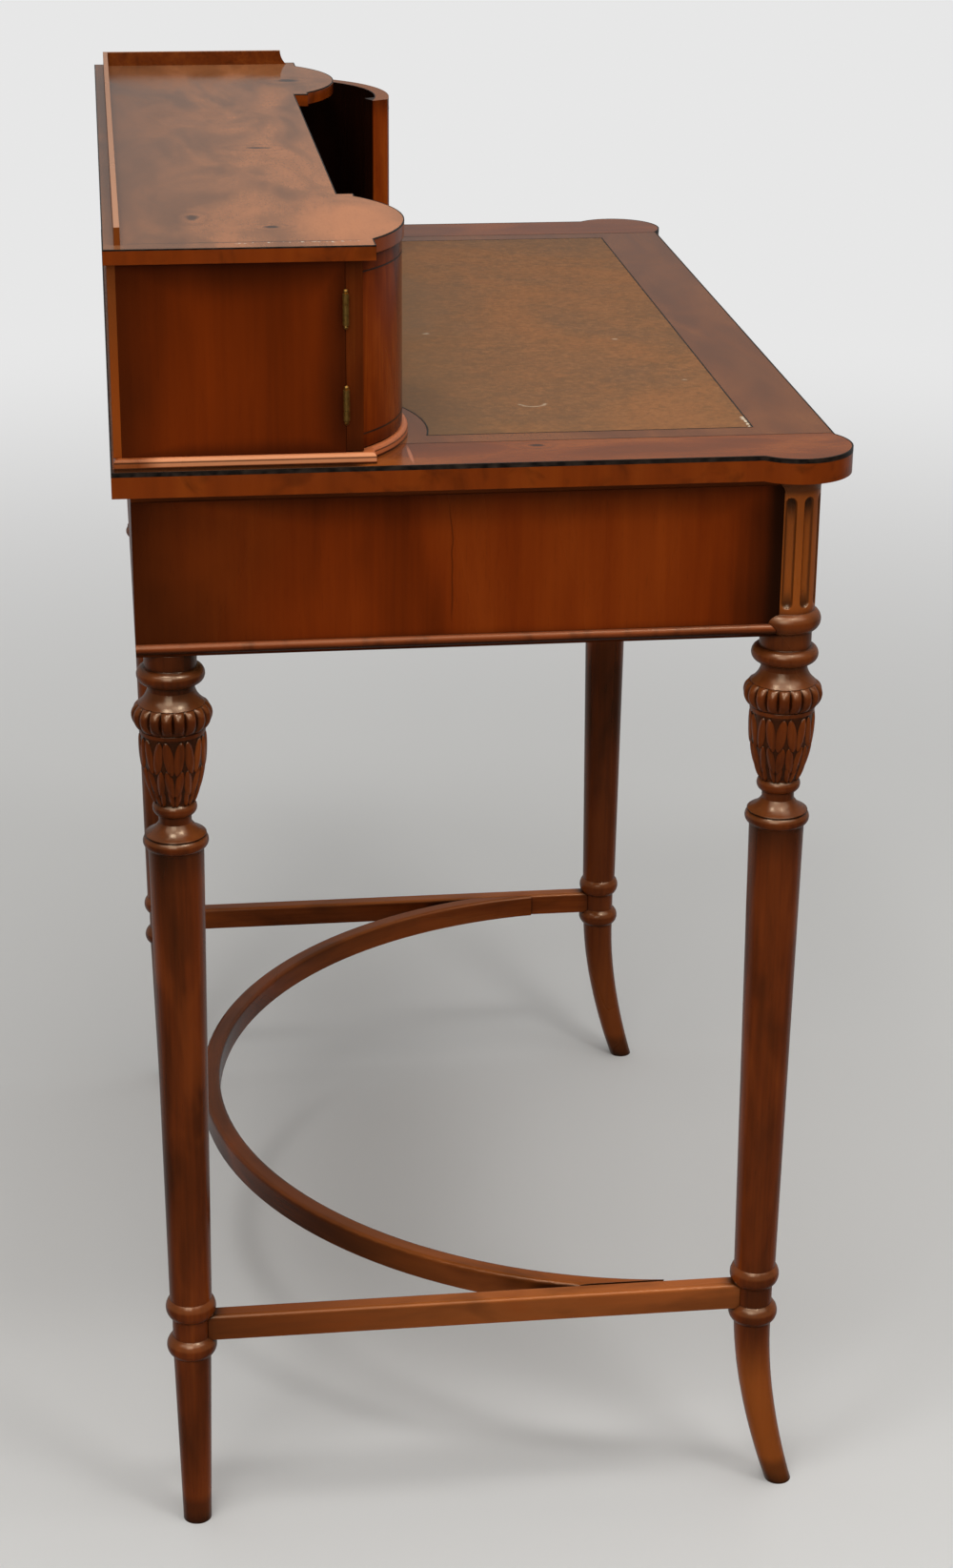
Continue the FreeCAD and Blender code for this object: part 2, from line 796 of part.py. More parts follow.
def knob(x, y, z, scale):
    """A turned brass knob that points forward, with a spigot into the drawer front."""
    stem_end = knob_length * knob_stem_share
    head_middle = profile(knob_head_radius, (stem_end + knob_length) / 2)
    piece = turned(
        profile(0, -knob_spigot_length),
        (profile(knob_spigot_radius, -knob_spigot_length),),
        (profile(knob_spigot_radius, 0),),
        (profile(knob_plate_radius, 0),),
        (profile(knob_plate_radius, knob_plate_height),),
        (profile(knob_stem_radius, knob_plate_height * 2),),
        (profile(knob_stem_radius, stem_end),),
        (head_middle, profile(knob_face_radius, knob_length)),
        (profile(0, knob_length),),
    )
    piece.scale(scale)
    piece.rotate(ORIGIN, X_AXIS, 90)
    piece.translate(FreeCAD.Vector(x, y, z))
    return piece


def drawer(half_front, half_box, front, levels, box_levels, back, sizes, knob_x, knob_scale):
    """A drawer's pieces: front, two sides, back, bottom let into grooves, and two knobs."""
    side_thick = sizes["side"]
    groove = sizes["groove"]
    inner_x = half_box - side_thick
    front_back = front + sizes["front"]
    low = box_levels[0] + sizes["lift"]
    high = low + sizes["bottom"]
    bottom_x = inner_x + groove
    bottom = block((-bottom_x, bottom_x), (front_back - groove, back), (low, high))
    middle = (levels[0] + levels[1]) / 2
    knobs = [knob(place, front, middle, knob_scale) for place in (-knob_x, knob_x)]
    face = block((-half_front, half_front), (front, front_back), levels).cut([bottom] + knobs)
    side = block((inner_x, half_box), (front_back, back), box_levels).cut(bottom)
    rear = block((-inner_x, inner_x), (back - side_thick, back), (high, box_levels[1]))
    return {
        "front": (face,),
        "sides": (other_end(side), side),
        "back": (rear,),
        "bottom": (bottom,),
        "knobs": tuple(knobs),
    }


def save_drawer(name, pieces):
    for piece, solids in pieces.items():
        save(name + "_" + piece, *solids)


def build_base():
    """Legs, stretchers, frieze and desk top."""
    save("front_leg_right", front_leg())
    save("front_leg_left", other_end(front_leg()))
    save("back_leg_right", back_leg())
    save("back_leg_left", other_end(back_leg()))
    bar = end_stretcher(leg_socket(front_leg_y), leg_socket(back_leg_y))
    save("end_stretcher_right", bar)
    save("end_stretcher_left", other_end(bar))
    save("hoop_stretcher", hoop_stretcher())

    post = column(glue_gap)
    post.translate(plan(leg_x, front_leg_y))
    save("frieze_end_right", frieze_end(post))
    save("frieze_end_left", other_end(frieze_end(post)))
    save("front_stile_right", front_stile(post))
    save("front_stile_left", other_end(front_stile(post)))
    back_levels = (frieze_bottom, top_under)
    save("frieze_back", block((-frieze_inner_x, frieze_inner_x), (frieze_inner_back, frieze_back), back_levels))
    save("frieze_beads", *strips(bead_face(), post))
    save("top_coves", *strips(cove_face(), post))
    save("back_corner_blocks", other_end(corner_block()), corner_block())
    save("drawer_runners", other_end(runner()), runner())

    rail_x = (-stile_x, stile_x)
    rail_y = (frieze_front, rail_back)
    save("front_rail_lower", block(rail_x, rail_y, (frieze_bottom, opening_bottom)))
    upper_rail = block(rail_x, rail_y, (opening_top, top_under))
    kickers = [other_end(kicker()), kicker()]
    top_screws = []
    for share in rail_screw_places_share:
        top_screws.append(screw(share * stile_x, (frieze_front + rail_back) / 2, opening_top, top_screw_length))
    kicker_x = stile_x - runner_width / 2
    for share in kicker_screw_places_share:
        y = rail_back + share * (frieze_inner_back - rail_back)
        top_screws.append(screw(kicker_x, y, opening_top, top_screw_length))
        top_screws.append(screw(-kicker_x, y, opening_top, top_screw_length))
    save("front_rail_upper", upper_rail.cut(top_screws))
    save("drawer_kickers", *[strip.cut(top_screws) for strip in kickers])
    save("top_screws", *top_screws)

    partition_middle = partition_place + partition_thickness / 2
    case_screws = []
    for share in case_screw_places_share:
        y = ear_y + share * (case_back - ear_y)
        case_screws.append(screw(partition_middle, y, top_under, case_screw_length))
        case_screws.append(screw(-partition_middle, y, top_under, case_screw_length))
    save("case_screws", *case_screws)

    save("writing_leather", leather())
    panel = block((-clamp_x, clamp_x), (front_y, back_y), (top_under, desk_height))
    panel = panel.fuse([tongue(), other_end(tongue())])
    save("desk_top", panel.cut([leather()] + top_screws + case_screws).removeSplitter())
    save("top_clamp_right", clamp())
    save("top_clamp_left", other_end(clamp()))
    return case_screws


def build_case(case_screws):
    """The upper case with its gallery, doors and hinges."""
    save("case_base", case_base().cut(case_screws))
    top_face = case_outline(end_x - case_top_inset, back_y, bow_radius)
    rails = [gallery_rail(), gallery_end()]
    save("case_top", board(top_face, case_ceiling, case_top).cut(rails))
    save("gallery_back", rails[0])
    save("gallery_end", rails[1])
    levels = (case_floor, case_ceiling)
    save("case_back", block((-case_side_x, case_side_x), (case_inner_back, case_back), levels))
    partition_x = (partition_place, partition_outer_x)
    partition = block(partition_x, (door_front_y, case_inner_back), levels)
    save("case_partition_right", partition.cut(case_screws))
    save("case_partition_left", other_end(partition).cut(case_screws))
    middle = (case_floor + case_ceiling) / 2
    shelf_levels = (middle - case_shelf_thickness / 2, middle + case_shelf_thickness / 2)
    shelf_front = recess_y + upper_drawer_setback
    save("case_shelf", block((-partition_place, partition_place), (shelf_front, case_inner_back), shelf_levels))

    side = block((case_side_x - case_side_thickness, case_side_x), (hinge_line, case_inner_back), levels)
    leaf = door()
    for z in hinge_levels():
        side = side.cut(leaf_seat(z, hinge_line))
        leaf = leaf.cut(leaf_seat(z, hinge_line - door_back_gap - hinge_leaf_thickness))
    save("case_side_right", side)
    save("case_side_left", other_end(side))

    frame_leaves = [frame_leaf(z) for z in hinge_levels()]
    door_leaves = [door_leaf(z) for z in hinge_levels()]
    pins = [hinge_pin(z) for z in hinge_levels()]
    save("right_hinge_frame_leaves", *frame_leaves)
    save("left_hinge_frame_leaves", *[other_end(piece) for piece in frame_leaves])
    save("right_hinge_pins", *pins)
    save("left_hinge_pins", *[other_end(piece) for piece in pins])
    save("left_door", other_end(leaf))
    save("left_hinge_door_leaves", *[other_end(piece) for piece in door_leaves])
    axis_foot = plan(hinge_x, hinge_y)
    for piece in [leaf] + door_leaves:
        piece.rotate(axis_foot, Z_AXIS, right_door_open_degrees)
    save("right_door", leaf)
    save("right_hinge_door_leaves", *door_leaves)


def build_drawers():
    """The frieze drawer and the two stacked drawers between the cupboards."""
    sizes = {
        "front": front_thickness,
        "side": drawer_side_thickness,
        "bottom": drawer_bottom_thickness,
        "lift": drawer_bottom_lift,
        "groove": drawer_groove,
    }
    levels = (opening_bottom + drawer_front_gap, opening_top - drawer_front_gap)
    box_levels = (opening_bottom + drawer_lift, opening_top - drawer_top_space)
    half_box = stile_x - runner_lip_width - slide_gap
    back = frieze_inner_back - drawer_back_space
    half_front = stile_x - drawer_front_gap
    save_drawer("frieze_drawer", drawer(
        half_front, half_box, frieze_front, levels, box_levels, back, sizes, drawer_knob_place, 1))

    sizes = {
        "front": upper_drawer_front_thickness,
        "side": upper_drawer_side_thickness,
        "bottom": upper_drawer_bottom_thickness,
        "lift": upper_drawer_bottom_lift,
        "groove": upper_drawer_groove,
    }
    opening = (case_ceiling - case_floor - case_shelf_thickness) / 2
    half_box = partition_place - slide_gap
    front = recess_y + upper_drawer_setback
    back = case_inner_back - upper_drawer_back_space
    floors = {"lower_drawer": case_floor, "upper_drawer": case_ceiling - opening}
    for name, floor in floors.items():
        levels = (floor + drawer_lift, floor + opening - upper_drawer_top_gap)
        box_levels = (levels[0], floor + opening - upper_drawer_top_space)
        save_drawer(name, drawer(
            half_box, half_box, front, levels, box_levels, back, sizes,
            upper_drawer_knob_place, upper_knob_share))


os.makedirs("parts", exist_ok=True)
build_case(build_base())
build_drawers()
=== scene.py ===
import bpy
import math
from mathutils import Matrix, Vector


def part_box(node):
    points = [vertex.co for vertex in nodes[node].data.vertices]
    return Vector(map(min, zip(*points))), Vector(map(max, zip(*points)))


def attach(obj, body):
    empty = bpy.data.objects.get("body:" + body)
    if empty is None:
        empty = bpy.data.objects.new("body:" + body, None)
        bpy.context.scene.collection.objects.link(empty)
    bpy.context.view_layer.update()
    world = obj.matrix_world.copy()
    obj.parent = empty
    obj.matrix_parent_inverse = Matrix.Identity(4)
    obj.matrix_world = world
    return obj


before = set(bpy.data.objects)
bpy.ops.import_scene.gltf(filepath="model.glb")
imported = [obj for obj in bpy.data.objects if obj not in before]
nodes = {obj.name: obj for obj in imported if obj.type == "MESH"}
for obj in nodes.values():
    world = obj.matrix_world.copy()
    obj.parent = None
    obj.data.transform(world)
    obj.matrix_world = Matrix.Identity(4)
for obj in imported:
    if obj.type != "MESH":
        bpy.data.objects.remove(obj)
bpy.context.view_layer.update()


# Turned legs
# Four legs of stained fruitwood, each turned in one length and polished. The front pair runs up
# through the frieze as fluted corner columns and ends below in sabre feet. Columns and front feet are
# rubbed lighter, much less so on the right-hand legs, whose lower shafts carry painted shade. The
# hollows are dark with old polish and painted shade, there is painted shadow under the collar and
# painted shade on faces that look down, and the shoulders that look up carry a painted highlight
# with some wear.
def add(tree, kind, sockets=None, **settings):
    """A node with its settings, and its sockets set or linked by name or number."""
    made = tree.nodes.new("ShaderNode" + kind)
    for name, value in settings.items():
        setattr(made, name, value)
    for name, value in (sockets or {}).items():
        if isinstance(value, bpy.types.NodeSocket):
            tree.links.new(value, made.inputs[name])
        else:
            made.inputs[name].default_value = value
    return made


def calc(tree, operation, *values):
    """A sum on numbers and sockets."""
    return add(tree, "Math", dict(enumerate(values)), operation=operation).outputs[0]


def times(tree, mask, *others):
    """Masks and shares multiplied together."""
    for other in others:
        mask = calc(tree, "MULTIPLY", mask, other)
    return mask


def colour(red, green, blue):
    """A colour as it looks on screen, turned into the shader's linear values."""
    linear = []
    for part in (red, green, blue):
        share = part / 255
        linear.append(share / 12.92 if share <= 0.04045 else ((share + 0.055) / 1.055) ** 2.4)
    return (*linear, 1.0)


def coordinates(tree):
    return add(tree, "TexCoord").outputs["Object"]


def along(tree, vector, axis):
    """One of a vector's three numbers."""
    return add(tree, "SeparateXYZ", {0: vector}).outputs[axis]


def facing(tree, axis):
    """How far the surface looks along an axis: 1 straight along it, -1 straight against it."""
    return along(tree, add(tree, "TexCoord").outputs["Normal"], axis)


def from_upright(tree, place, x, y):
    """How far a point is from an upright line at x, or at minus x in the left half."""
    aside = calc(tree, "ABSOLUTE", along(tree, place, "X"))
    plan = add(tree, "CombineXYZ", {"X": aside, "Y": along(tree, place, "Y")}).outputs[0]
    return add(tree, "VectorMath", {0: plan, 1: (x, y, 0.0)}, operation="DISTANCE").outputs["Value"]


def stretched(tree, place, grain, share):
    """Coordinates squeezed along the grain, so that a pattern is drawn out along it."""
    scale = [1.0, 1.0, 1.0]
    scale["XYZ".index(grain)] = share
    return add(tree, "Mapping", {"Vector": place, "Scale": scale}).outputs["Vector"]


def noise(tree, place, scale, detail=2.0, distortion=0.0):
    sockets = {"Vector": place, "Scale": scale, "Detail": detail, "Distortion": distortion}
    return add(tree, "TexNoise", sockets).outputs[0]


def ramp(tree, factor, *stops):
    made = add(tree, "ValToRGB", {"Fac": factor})
    band = made.color_ramp
    while len(band.elements) < len(stops):
        band.elements.new(0.5)
    for element, (place, shade) in zip(band.elements, stops):
        element.position = place
        element.color = shade
    return made.outputs["Color"]


def remap(tree, value, low, high, to_low, to_high):
    """A soft step: to_low where the value is at low, to_high where it is at high."""
    sockets = {"Value": value, "From Min": low, "From Max": high, "To Min": to_low, "To Max": to_high}
    return add(tree, "MapRange", sockets, interpolation_type="SMOOTHSTEP").outputs["Result"]


def between(tree, value, low, high, soft):
    """1 between two limits and 0 outside them, with soft ends."""
    rise = remap(tree, value, low - soft, low + soft, 0.0, 1.0)
    fall = remap(tree, value, high - soft, high + soft, 1.0, 0.0)
    return times(tree, rise, fall)


def mixed(tree, factor, first, second):
    """The first colour where the factor is 0, the second where it is 1."""
    made = add(tree, "Mix", {"Factor": factor}, data_type="RGBA")
    for socket, value in zip(made.inputs[6:8], (first, second)):
        if isinstance(value, bpy.types.NodeSocket):
            tree.links.new(value, socket)
        else:
            socket.default_value = value
    return made.outputs[2]


def new_material(name, **sockets):
    """A material, its node tree and its shader, with the shader's fixed sockets set by name."""
    made = bpy.data.materials.new(name)
    made.use_nodes = True
    tree = made.node_tree
    shader = tree.nodes["Principled BSDF"]
    for socket, value in sockets.items():
        shader.inputs[socket.replace("_", " ")].default_value = value
    return made, tree, shader


def feed(tree, shader, **sockets):
    """Links the shader's sockets to what drives them."""
    for name, source in sockets.items():
        tree.links.new(source, shader.inputs[name.replace("_", " ")])


def wood(name, grain, dark, middle, light, figure=6.0, swirl=0.8, draw=0.35, streaks=1.0,
         shine=0.12, gloss=0.2, place_of=coordinates):
    """Polished wood: broad figure, growth bands, fine fibres and pores under a thin warm polish."""
    warm_polish = (1.0, 0.78, 0.54, 1.0)
    band_share = 0.25 * streaks
    fibre_share = 0.15 * streaks
    edge_radius = 0.0006
    grain_depth = 0.0003
    made, tree, shader = new_material(name, Specular_IOR_Level=shine, Specular_Tint=warm_polish)
    place = place_of(tree)
    broad = noise(tree, stretched(tree, place, grain, draw), figure, detail=3.0, distortion=swirl)
    bands = noise(tree, stretched(tree, place, grain, 0.12), figure * 9, detail=3.0, distortion=1.2)
    fibres = noise(tree, stretched(tree, place, grain, 0.03), figure * 70, detail=3.0)
    pores = noise(tree, stretched(tree, place, grain, 0.06), 1400.0, detail=1.0)
    tone = times(tree, broad, 1 - band_share - fibre_share)
    tone = calc(tree, "MULTIPLY_ADD", bands, band_share, tone)
    tone = calc(tree, "MULTIPLY_ADD", fibres, fibre_share, tone)
    shade = ramp(tree, remap(tree, tone, 0.3, 0.7, 0.0, 1.0), (0.1, dark), (0.5, middle), (0.9, light))
    speck = remap(tree, pores, 0.62, 0.74, 0.0, 0.3)
    relief = calc(tree, "SUBTRACT", fibres, speck)
    rounded = add(tree, "Bevel", {"Radius": edge_radius}, samples=4).outputs["Normal"]
    bump = add(tree, "Bump", {"Strength": 0.1, "Distance": grain_depth, "Height": relief, "Normal": rounded})
    feed(tree, shader, Base_Color=mixed(tree, speck, shade, dark), Normal=bump.outputs["Normal"],
         Roughness=remap(tree, broad, 0.3, 0.7, gloss, gloss + 0.1))
    return made


def tint(material, mask, shade):
    """Lays a colour over a finish where the mask is 1."""
    tree = material.node_tree
    socket = tree.nodes["Principled BSDF"].inputs["Base Color"]
    tree.links.new(mixed(tree, mask, socket.links[0].from_socket, shade), socket)


# Dark old polish; the same colour is also laid as painted shade in hollows, under overhangs and on faces
# that look down.
old_polish_and_shade = colour(26, 10, 3)


def grime_and_shade(material, reach, share):
    """Old polish and dust left in the hollows that are narrower than this reach, with painted shade there
    too.
    """
    tree = material.node_tree
    open_sky = add(tree, "AmbientOcclusion", {"Distance": reach}, samples=8).outputs["AO"]
    tint(material, remap(tree, open_sky, 0.5, 0.97, share, 0.0), old_polish_and_shade)


def worn_and_lit(material, shade, share):
    """Polish worn pale along the shoulders that look up, with a painted highlight there."""
    tree = material.node_tree
    tint(material, times(tree, between(tree, facing(tree, "Z"), 0.25, 0.97, soft=0.12), share), shade)


def painted_underside_shade(material, share):
    """Painted shade on the faces that look down."""
    tree = material.node_tree
    tint(material, remap(tree, facing(tree, "Z"), -0.9, -0.1, share, 0.0), old_polish_and_shade)


def clouded(material, grain, place_of=coordinates):
    """Old polish gone darker and lighter in long soft patches."""
    tree = material.node_tree
    clouds = noise(tree, stretched(tree, place_of(tree), grain, 0.35), 30.0, detail=3.0, distortion=0.6)
    tint(material, remap(tree, clouds, 0.47, 0.75, 0.0, 0.45), old_polish_and_shade)
    tint(material, remap(tree, clouds, 0.5, 0.3, 0.0, 0.4), colour(140, 62, 12))


def dress(material, *names):
    """Gives CAD nodes their finish."""
    for name in names:
        nodes[name].data.materials.clear()
        nodes[name].data.materials.append(material)


leg_x = 0.3335
front_leg_y = -0.192
back_leg_y = 0.196
leg_places = {}
for row, y in (("front", front_leg_y), ("back", back_leg_y)):
    for side, x in (("left", -leg_x), ("right", leg_x)):
        leg_places[row + "_leg_" + side] = (x, y)

vase_levels = (0.5390, 0.5625, 0.5860)
vase_radii = (0.0120, 0.0187, 0.0198)
vase_rim = 0.001
tip_levels = 0.014, 0.024
foot_levels = 0.08, 0.13
lower_shaft_levels = 0.22, 0.48
collar_shadow_levels = 0.480, 0.505
collar_foot_levels = 0.5065, 0.5075
turned_levels = 0.506, 0.652
column_foot_levels = 0.652, 0.660
column_head_levels = 0.730, 0.735
flute_levels = 0.650, 0.738
flute_middle = 0.692
flute_end_reach = 0.018, 0.036
flute_wall_radii = 0.0160, 0.0172
flute_floor_radii = 0.0160, 0.0174
front_row = -0.3, -0.1
left_to_right = -0.1, 0.1
leg_shades = colour(62, 23, 2), colour(106, 42, 4), colour(134, 60, 9)
handled_shade = colour(164, 82, 18)
shoulder_wear_and_highlight = colour(168, 104, 60)

leg_wood = wood("leg_fruitwood", "Z", *leg_shades, streaks=0.7, shine=0.75, gloss=0.19)
clouded(leg_wood, "Z")
tree = leg_wood.node_tree
place = coordinates(tree)
height = along(tree, place, "Z")
front = between(tree, along(tree, place, "Y"), *front_row, soft=0.01)
right_side = remap(tree, along(tree, place, "X"), *left_to_right, 0.0, 1.0)
handled = calc(tree, "MAXIMUM", remap(tree, height, *column_foot_levels, 0.0, 0.7),
               remap(tree, height, *foot_levels, 0.6, 0.0))
# Painted shade: the right-hand legs get little of the lighter tint, and their lower shafts are darkened.
mostly_left = calc(tree, "MULTIPLY_ADD", right_side, -0.8, 1.0)
tint(leg_wood, times(tree, handled, mostly_left, front), handled_shade)
tint(leg_wood, times(tree, right_side, remap(tree, height, *lower_shaft_levels, 0.3, 0.0)), old_polish_and_shade)
tint(leg_wood, remap(tree, height, *tip_levels, 0.5, 0.0), old_polish_and_shade)
worn_and_lit(leg_wood, shoulder_wear_and_highlight, 0.22)
under_collar = remap(tree, height, *collar_shadow_levels, 0.0, 0.5)
under_collar = times(tree, under_collar, remap(tree, height, *collar_foot_levels, 1.0, 0.0))
tint(leg_wood, under_collar, old_polish_and_shade)
tint(leg_wood, times(tree, between(tree, height, *turned_levels, soft=0.002), 0.28), old_polish_and_shade)
painted_underside_shade(leg_wood, 0.6)

# Old polish and painted shade in the flutes, darkest on their walls and at their ends; the column's head is
# darkened too.
radius = from_upright(tree, place, leg_x, front_leg_y)
flute_walls = times(tree, between(tree, radius, *flute_wall_radii, soft=0.0004), 0.6)
from_middle = calc(tree, "ABSOLUTE", calc(tree, "SUBTRACT", height, flute_middle))
flute_ends = times(tree, remap(tree, from_middle, *flute_end_reach, 0.0, 0.9),
                   remap(tree, radius, *flute_floor_radii, 1.0, 0.0))
fluted = between(tree, height, *flute_levels, soft=0.002)
tint(leg_wood, times(tree, fluted, calc(tree, "MAXIMUM", flute_walls, flute_ends)), old_polish_and_shade)
tint(leg_wood, times(tree, remap(tree, height, *column_head_levels, 0.0, 0.6), front), old_polish_and_shade)
# The vase's ground between the carved leaves is darkened: old polish and painted shade.
carved = between(tree, height, vase_levels[0] + vase_rim, vase_levels[2] - vase_rim, soft=0.001)
tint(leg_wood, times(tree, carved, 0.7), old_polish_and_shade)
grime_and_shade(leg_wood, 0.004, 0.5)
grime_and_shade(leg_wood, 0.014, 0.6)
dress(leg_wood, *leg_places)


# Leaf carving on the vases
# Nine upright sprigs cut in low relief round each vase, every sprig three pairs of pointed leaves
# that spread from a dark middle line. Carved in the leg's own wood, dark in the hollows with old
# polish and painted shade.
leaf_half_width = 0.0034
leaf_half_length = 0.0115
leaf_rise = 0.0014
leaf_sunk = 0.0004
leaf_ridge = 0.0004
leaf_facets = 8
leaf_crease = math.radians(40)
leaf_spread = math.radians(8)
leaf_offset = 0.0034
leaf_tiers = ((0.5735, 1.0), (0.5555, 0.88), (0.5445, 0.62))
sprig_count = 9
sprig_turns = {"front": math.radians(158), "back": math.radians(180)}
leaf_shades = colour(66, 25, 3), colour(104, 43, 6), colour(132, 61, 13)
leaf_wood = wood("leaf_fruitwood", "Z", *leaf_shades, shine=0.8, gloss=0.16)
grime_and_shade(leaf_wood, 0.003, 0.8)
grime_and_shade(leaf_wood, 0.014, 0.5)


def vase_radius(z):
    """The vase's radius at a height, on a curve through its foot, middle and top."""
    radius = 0.0
    for level, value in zip(vase_levels, vase_radii):
        for other in vase_levels:
            if other != level:
                value *= (z - other) / (level - other)
        radius += value
    return radius


bpy.ops.object.select_all(action="DESELECT")
bpy.ops.mesh.primitive_uv_sphere_add(segments=leaf_facets, ring_count=leaf_facets, radius=1.0)
leaf = bpy.context.object
leaf.scale = (leaf_half_width, leaf_rise, leaf_half_length)
bpy.ops.object.transform_apply(location=False, rotation=False, scale=True)
bpy.ops.object.mode_set(mode="EDIT")
bpy.ops.mesh.select_mode(type="VERT")
bpy.ops.mesh.select_all(action="DESELECT")
bpy.ops.object.mode_set(mode="OBJECT")
for point in leaf.data.vertices:
    point.select = point.co.y > leaf_rise / 4 and abs(point.co.x) < leaf_half_width / 10
bpy.ops.object.mode_set(mode="EDIT")
bpy.ops.transform.translate(value=(0.0, leaf_ridge, 0.0))
bpy.ops.object.mode_set(mode="OBJECT")


def leaf_matrix(foot, turn, z, size, side):
    """Where one leaf lies on a vase: upright on the surface and leaning out from the sprig's line."""
    radius = vase_radius(z)
    angle = turn + side * leaf_offset * size / radius
    outward = Vector((math.cos(angle), math.sin(angle), 0.0))
    sideways = Vector((-math.sin(angle), math.cos(angle), 0.0))
    step = 0.001
    upward = Vector((0.0, 0.0, 2 * step)) + outward * (vase_radius(z + step) - vase_radius(z - step))
    upward.normalize()
    normal = sideways.cross(upward)
    turned = Matrix((sideways, normal, upward)).transposed().to_4x4()
    lean = Matrix.Rotation(side * leaf_spread, 4, "Y")
    place = Vector((*foot, z)) + outward * (radius - leaf_sunk)
    return Matrix.Translation(place) @ turned @ lean @ Matrix.Diagonal((size, 1.0, size, 1.0))


for leg, foot in leg_places.items():
    first_turn = sprig_turns[leg.split("_")[0]]
    if foot[0] > 0:
        first_turn = math.pi - first_turn
    bpy.ops.object.select_all(action="DESELECT")
    for sprig in range(sprig_count):
        turn = first_turn + sprig * 2 * math.pi / sprig_count
        for z, size in leaf_tiers:
            for side in (-1, 1):
                copy = bpy.data.objects.new(leg + "_leaves", leaf.data.copy())
                copy.data.transform(leaf_matrix(foot, turn, z, size, side))
                bpy.context.scene.collection.objects.link(copy)
                copy.select_set(True)
    bpy.context.view_layer.objects.active = copy
    bpy.ops.object.join()
    bpy.ops.object.mode_set(mode="EDIT")
    bpy.ops.mesh.select_all(action="SELECT")
    bpy.ops.mesh.normals_make_consistent(inside=False)
    bpy.ops.object.mode_set(mode="OBJECT")
    bpy.ops.object.shade_smooth_by_angle(angle=leaf_crease)
    carving = bpy.context.object
    carving.name = leg + "_leaves"
    carving.data.materials.append(leaf_wood)
    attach(carving, "carcase")
bpy.data.objects.remove(leaf)


# Stretchers
# A straight bar between the legs at each end, and a hoop bent from front leg to front leg.
# Same stained wood as the legs. The tops and outer faces are painted lighter, part wear and part
# painted light, less so towards the back; the wood is darker towards the back, and its hollows and
# the faces that look down carry painted shade, with old polish in the hollows.
hoop_centre_y = -0.165
hoop_radius = 0.3335
darker_back_depths = -0.16, 0.12
lightening_depths = -0.02, 0.16
outward_reach = 0.1, 0.25
bar_shades = colour(66, 27, 5), colour(110, 47, 9), colour(138, 66, 19)
worn_lit_side_shade = colour(178, 98, 44)
worn_lit_top_shade = colour(206, 116, 54)


def hoop_coordinates(tree):
    """Coordinates that follow the hoop: across it, along its bend, and up."""
    place = coordinates(tree)
    depth = calc(tree, "SUBTRACT", along(tree, place, "Y"), hoop_centre_y)
    turn = calc(tree, "ARCTAN2", depth, along(tree, place, "X"))
    reach = add(tree, "VectorMath", {0: place, 1: (0.0, hoop_centre_y, 0.0)}, operation="DISTANCE")
    sockets = {"X": reach.outputs["Value"], "Y": times(tree, turn, hoop_radius)}
    return add(tree, "CombineXYZ", {**sockets, "Z": along(tree, place, "Z")}).outputs[0]


for name, place_of, top_lightening, side_lightening, pieces in (
        ("bar_wood", coordinates, 0.65, 0.45, ("end_stretcher_left", "end_stretcher_right")),
        ("hoop_wood", hoop_coordinates, 0.4, 0.25, ("hoop_stretcher",))):
    bar_wood = wood(name, "Y", *bar_shades, streaks=0.7, shine=0.4, place_of=place_of)
    tree = bar_wood.node_tree
    place = coordinates(tree)
    depth = along(tree, place, "Y")
    # Darker towards the back.
    tint(bar_wood, remap(tree, depth, *darker_back_depths, 0.0, 0.35), old_polish_and_shade)
    # Painted light with some wear: the tops and outer faces are made paler, less so towards the back.
    front_fade = remap(tree, depth, *lightening_depths, 1.0, 0.3)
    outward = times(tree, facing(tree, "X"), along(tree, place, "X"))
    sides = times(tree, remap(tree, outward, *outward_reach, 0.0, side_lightening), front_fade)
    tint(bar_wood, sides, worn_lit_side_shade)
    tops = times(tree, remap(tree, facing(tree, "Z"), 0.2, 0.8, 0.0, top_lightening), front_fade)
    tint(bar_wood, tops, worn_lit_top_shade)
    clouded(bar_wood, "Y", place_of)
    painted_underside_shade(bar_wood, 0.6)
    grime_and_shade(bar_wood, 0.012, 0.8)
    dress(bar_wood, *pieces)


# Frieze
# The box below the top: ends, front rails and stiles and the back, veneered with upright figure.
# A bead runs along its foot, a hollow moulding is glued under the top, and the ends darken towards
# their edges with old polish and painted shadow under the top, with painted shadow beside the
# columns. The bead carries a painted highlight above and painted shade below, and the hollow
# moulding is dark with grime and painted shade. A thin crack runs up the veneer of each end.
veneer_shades = colour(88, 30, 3), colour(114, 41, 4), colour(130, 52, 7)
bead_shades = colour(84, 34, 10), colour(118, 52, 20), colour(138, 66, 30)
cove_shades = colour(60, 24, 6), colour(92, 38, 8), colour(110, 48, 12)
column_shadow_depths = -0.180, -0.170
crack_depths = 0.0251, 0.0259
crack_levels = 0.660, 0.728
crack_wander = 0.006


def edges_aged_and_shaded(material, edges, share, place_of=coordinates):
    """Polish darkened towards edges, with painted shade there: each gives an axis, its place and how far in,
    below 0 if downwards.
    """
    tree = material.node_tree
    place = place_of(tree)
    drift = times(tree, noise(tree, place, 14.0), 0.6)
    total = None
    for axis, edge, reach in edges:
        inside = calc(tree, "DIVIDE", calc(tree, "SUBTRACT", along(tree, place, axis), edge), reach)
        total = inside if total is None else calc(tree, "MINIMUM", total, inside)
    tint(material, remap(tree, calc(tree, "ADD", total, drift), 0.2, 1.3, share, 0.0), old_polish_and_shade)


panel_wood = wood("frieze_veneer", "Z", *veneer_shades, figure=5.0, streaks=0.6)
low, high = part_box("frieze_end_left")
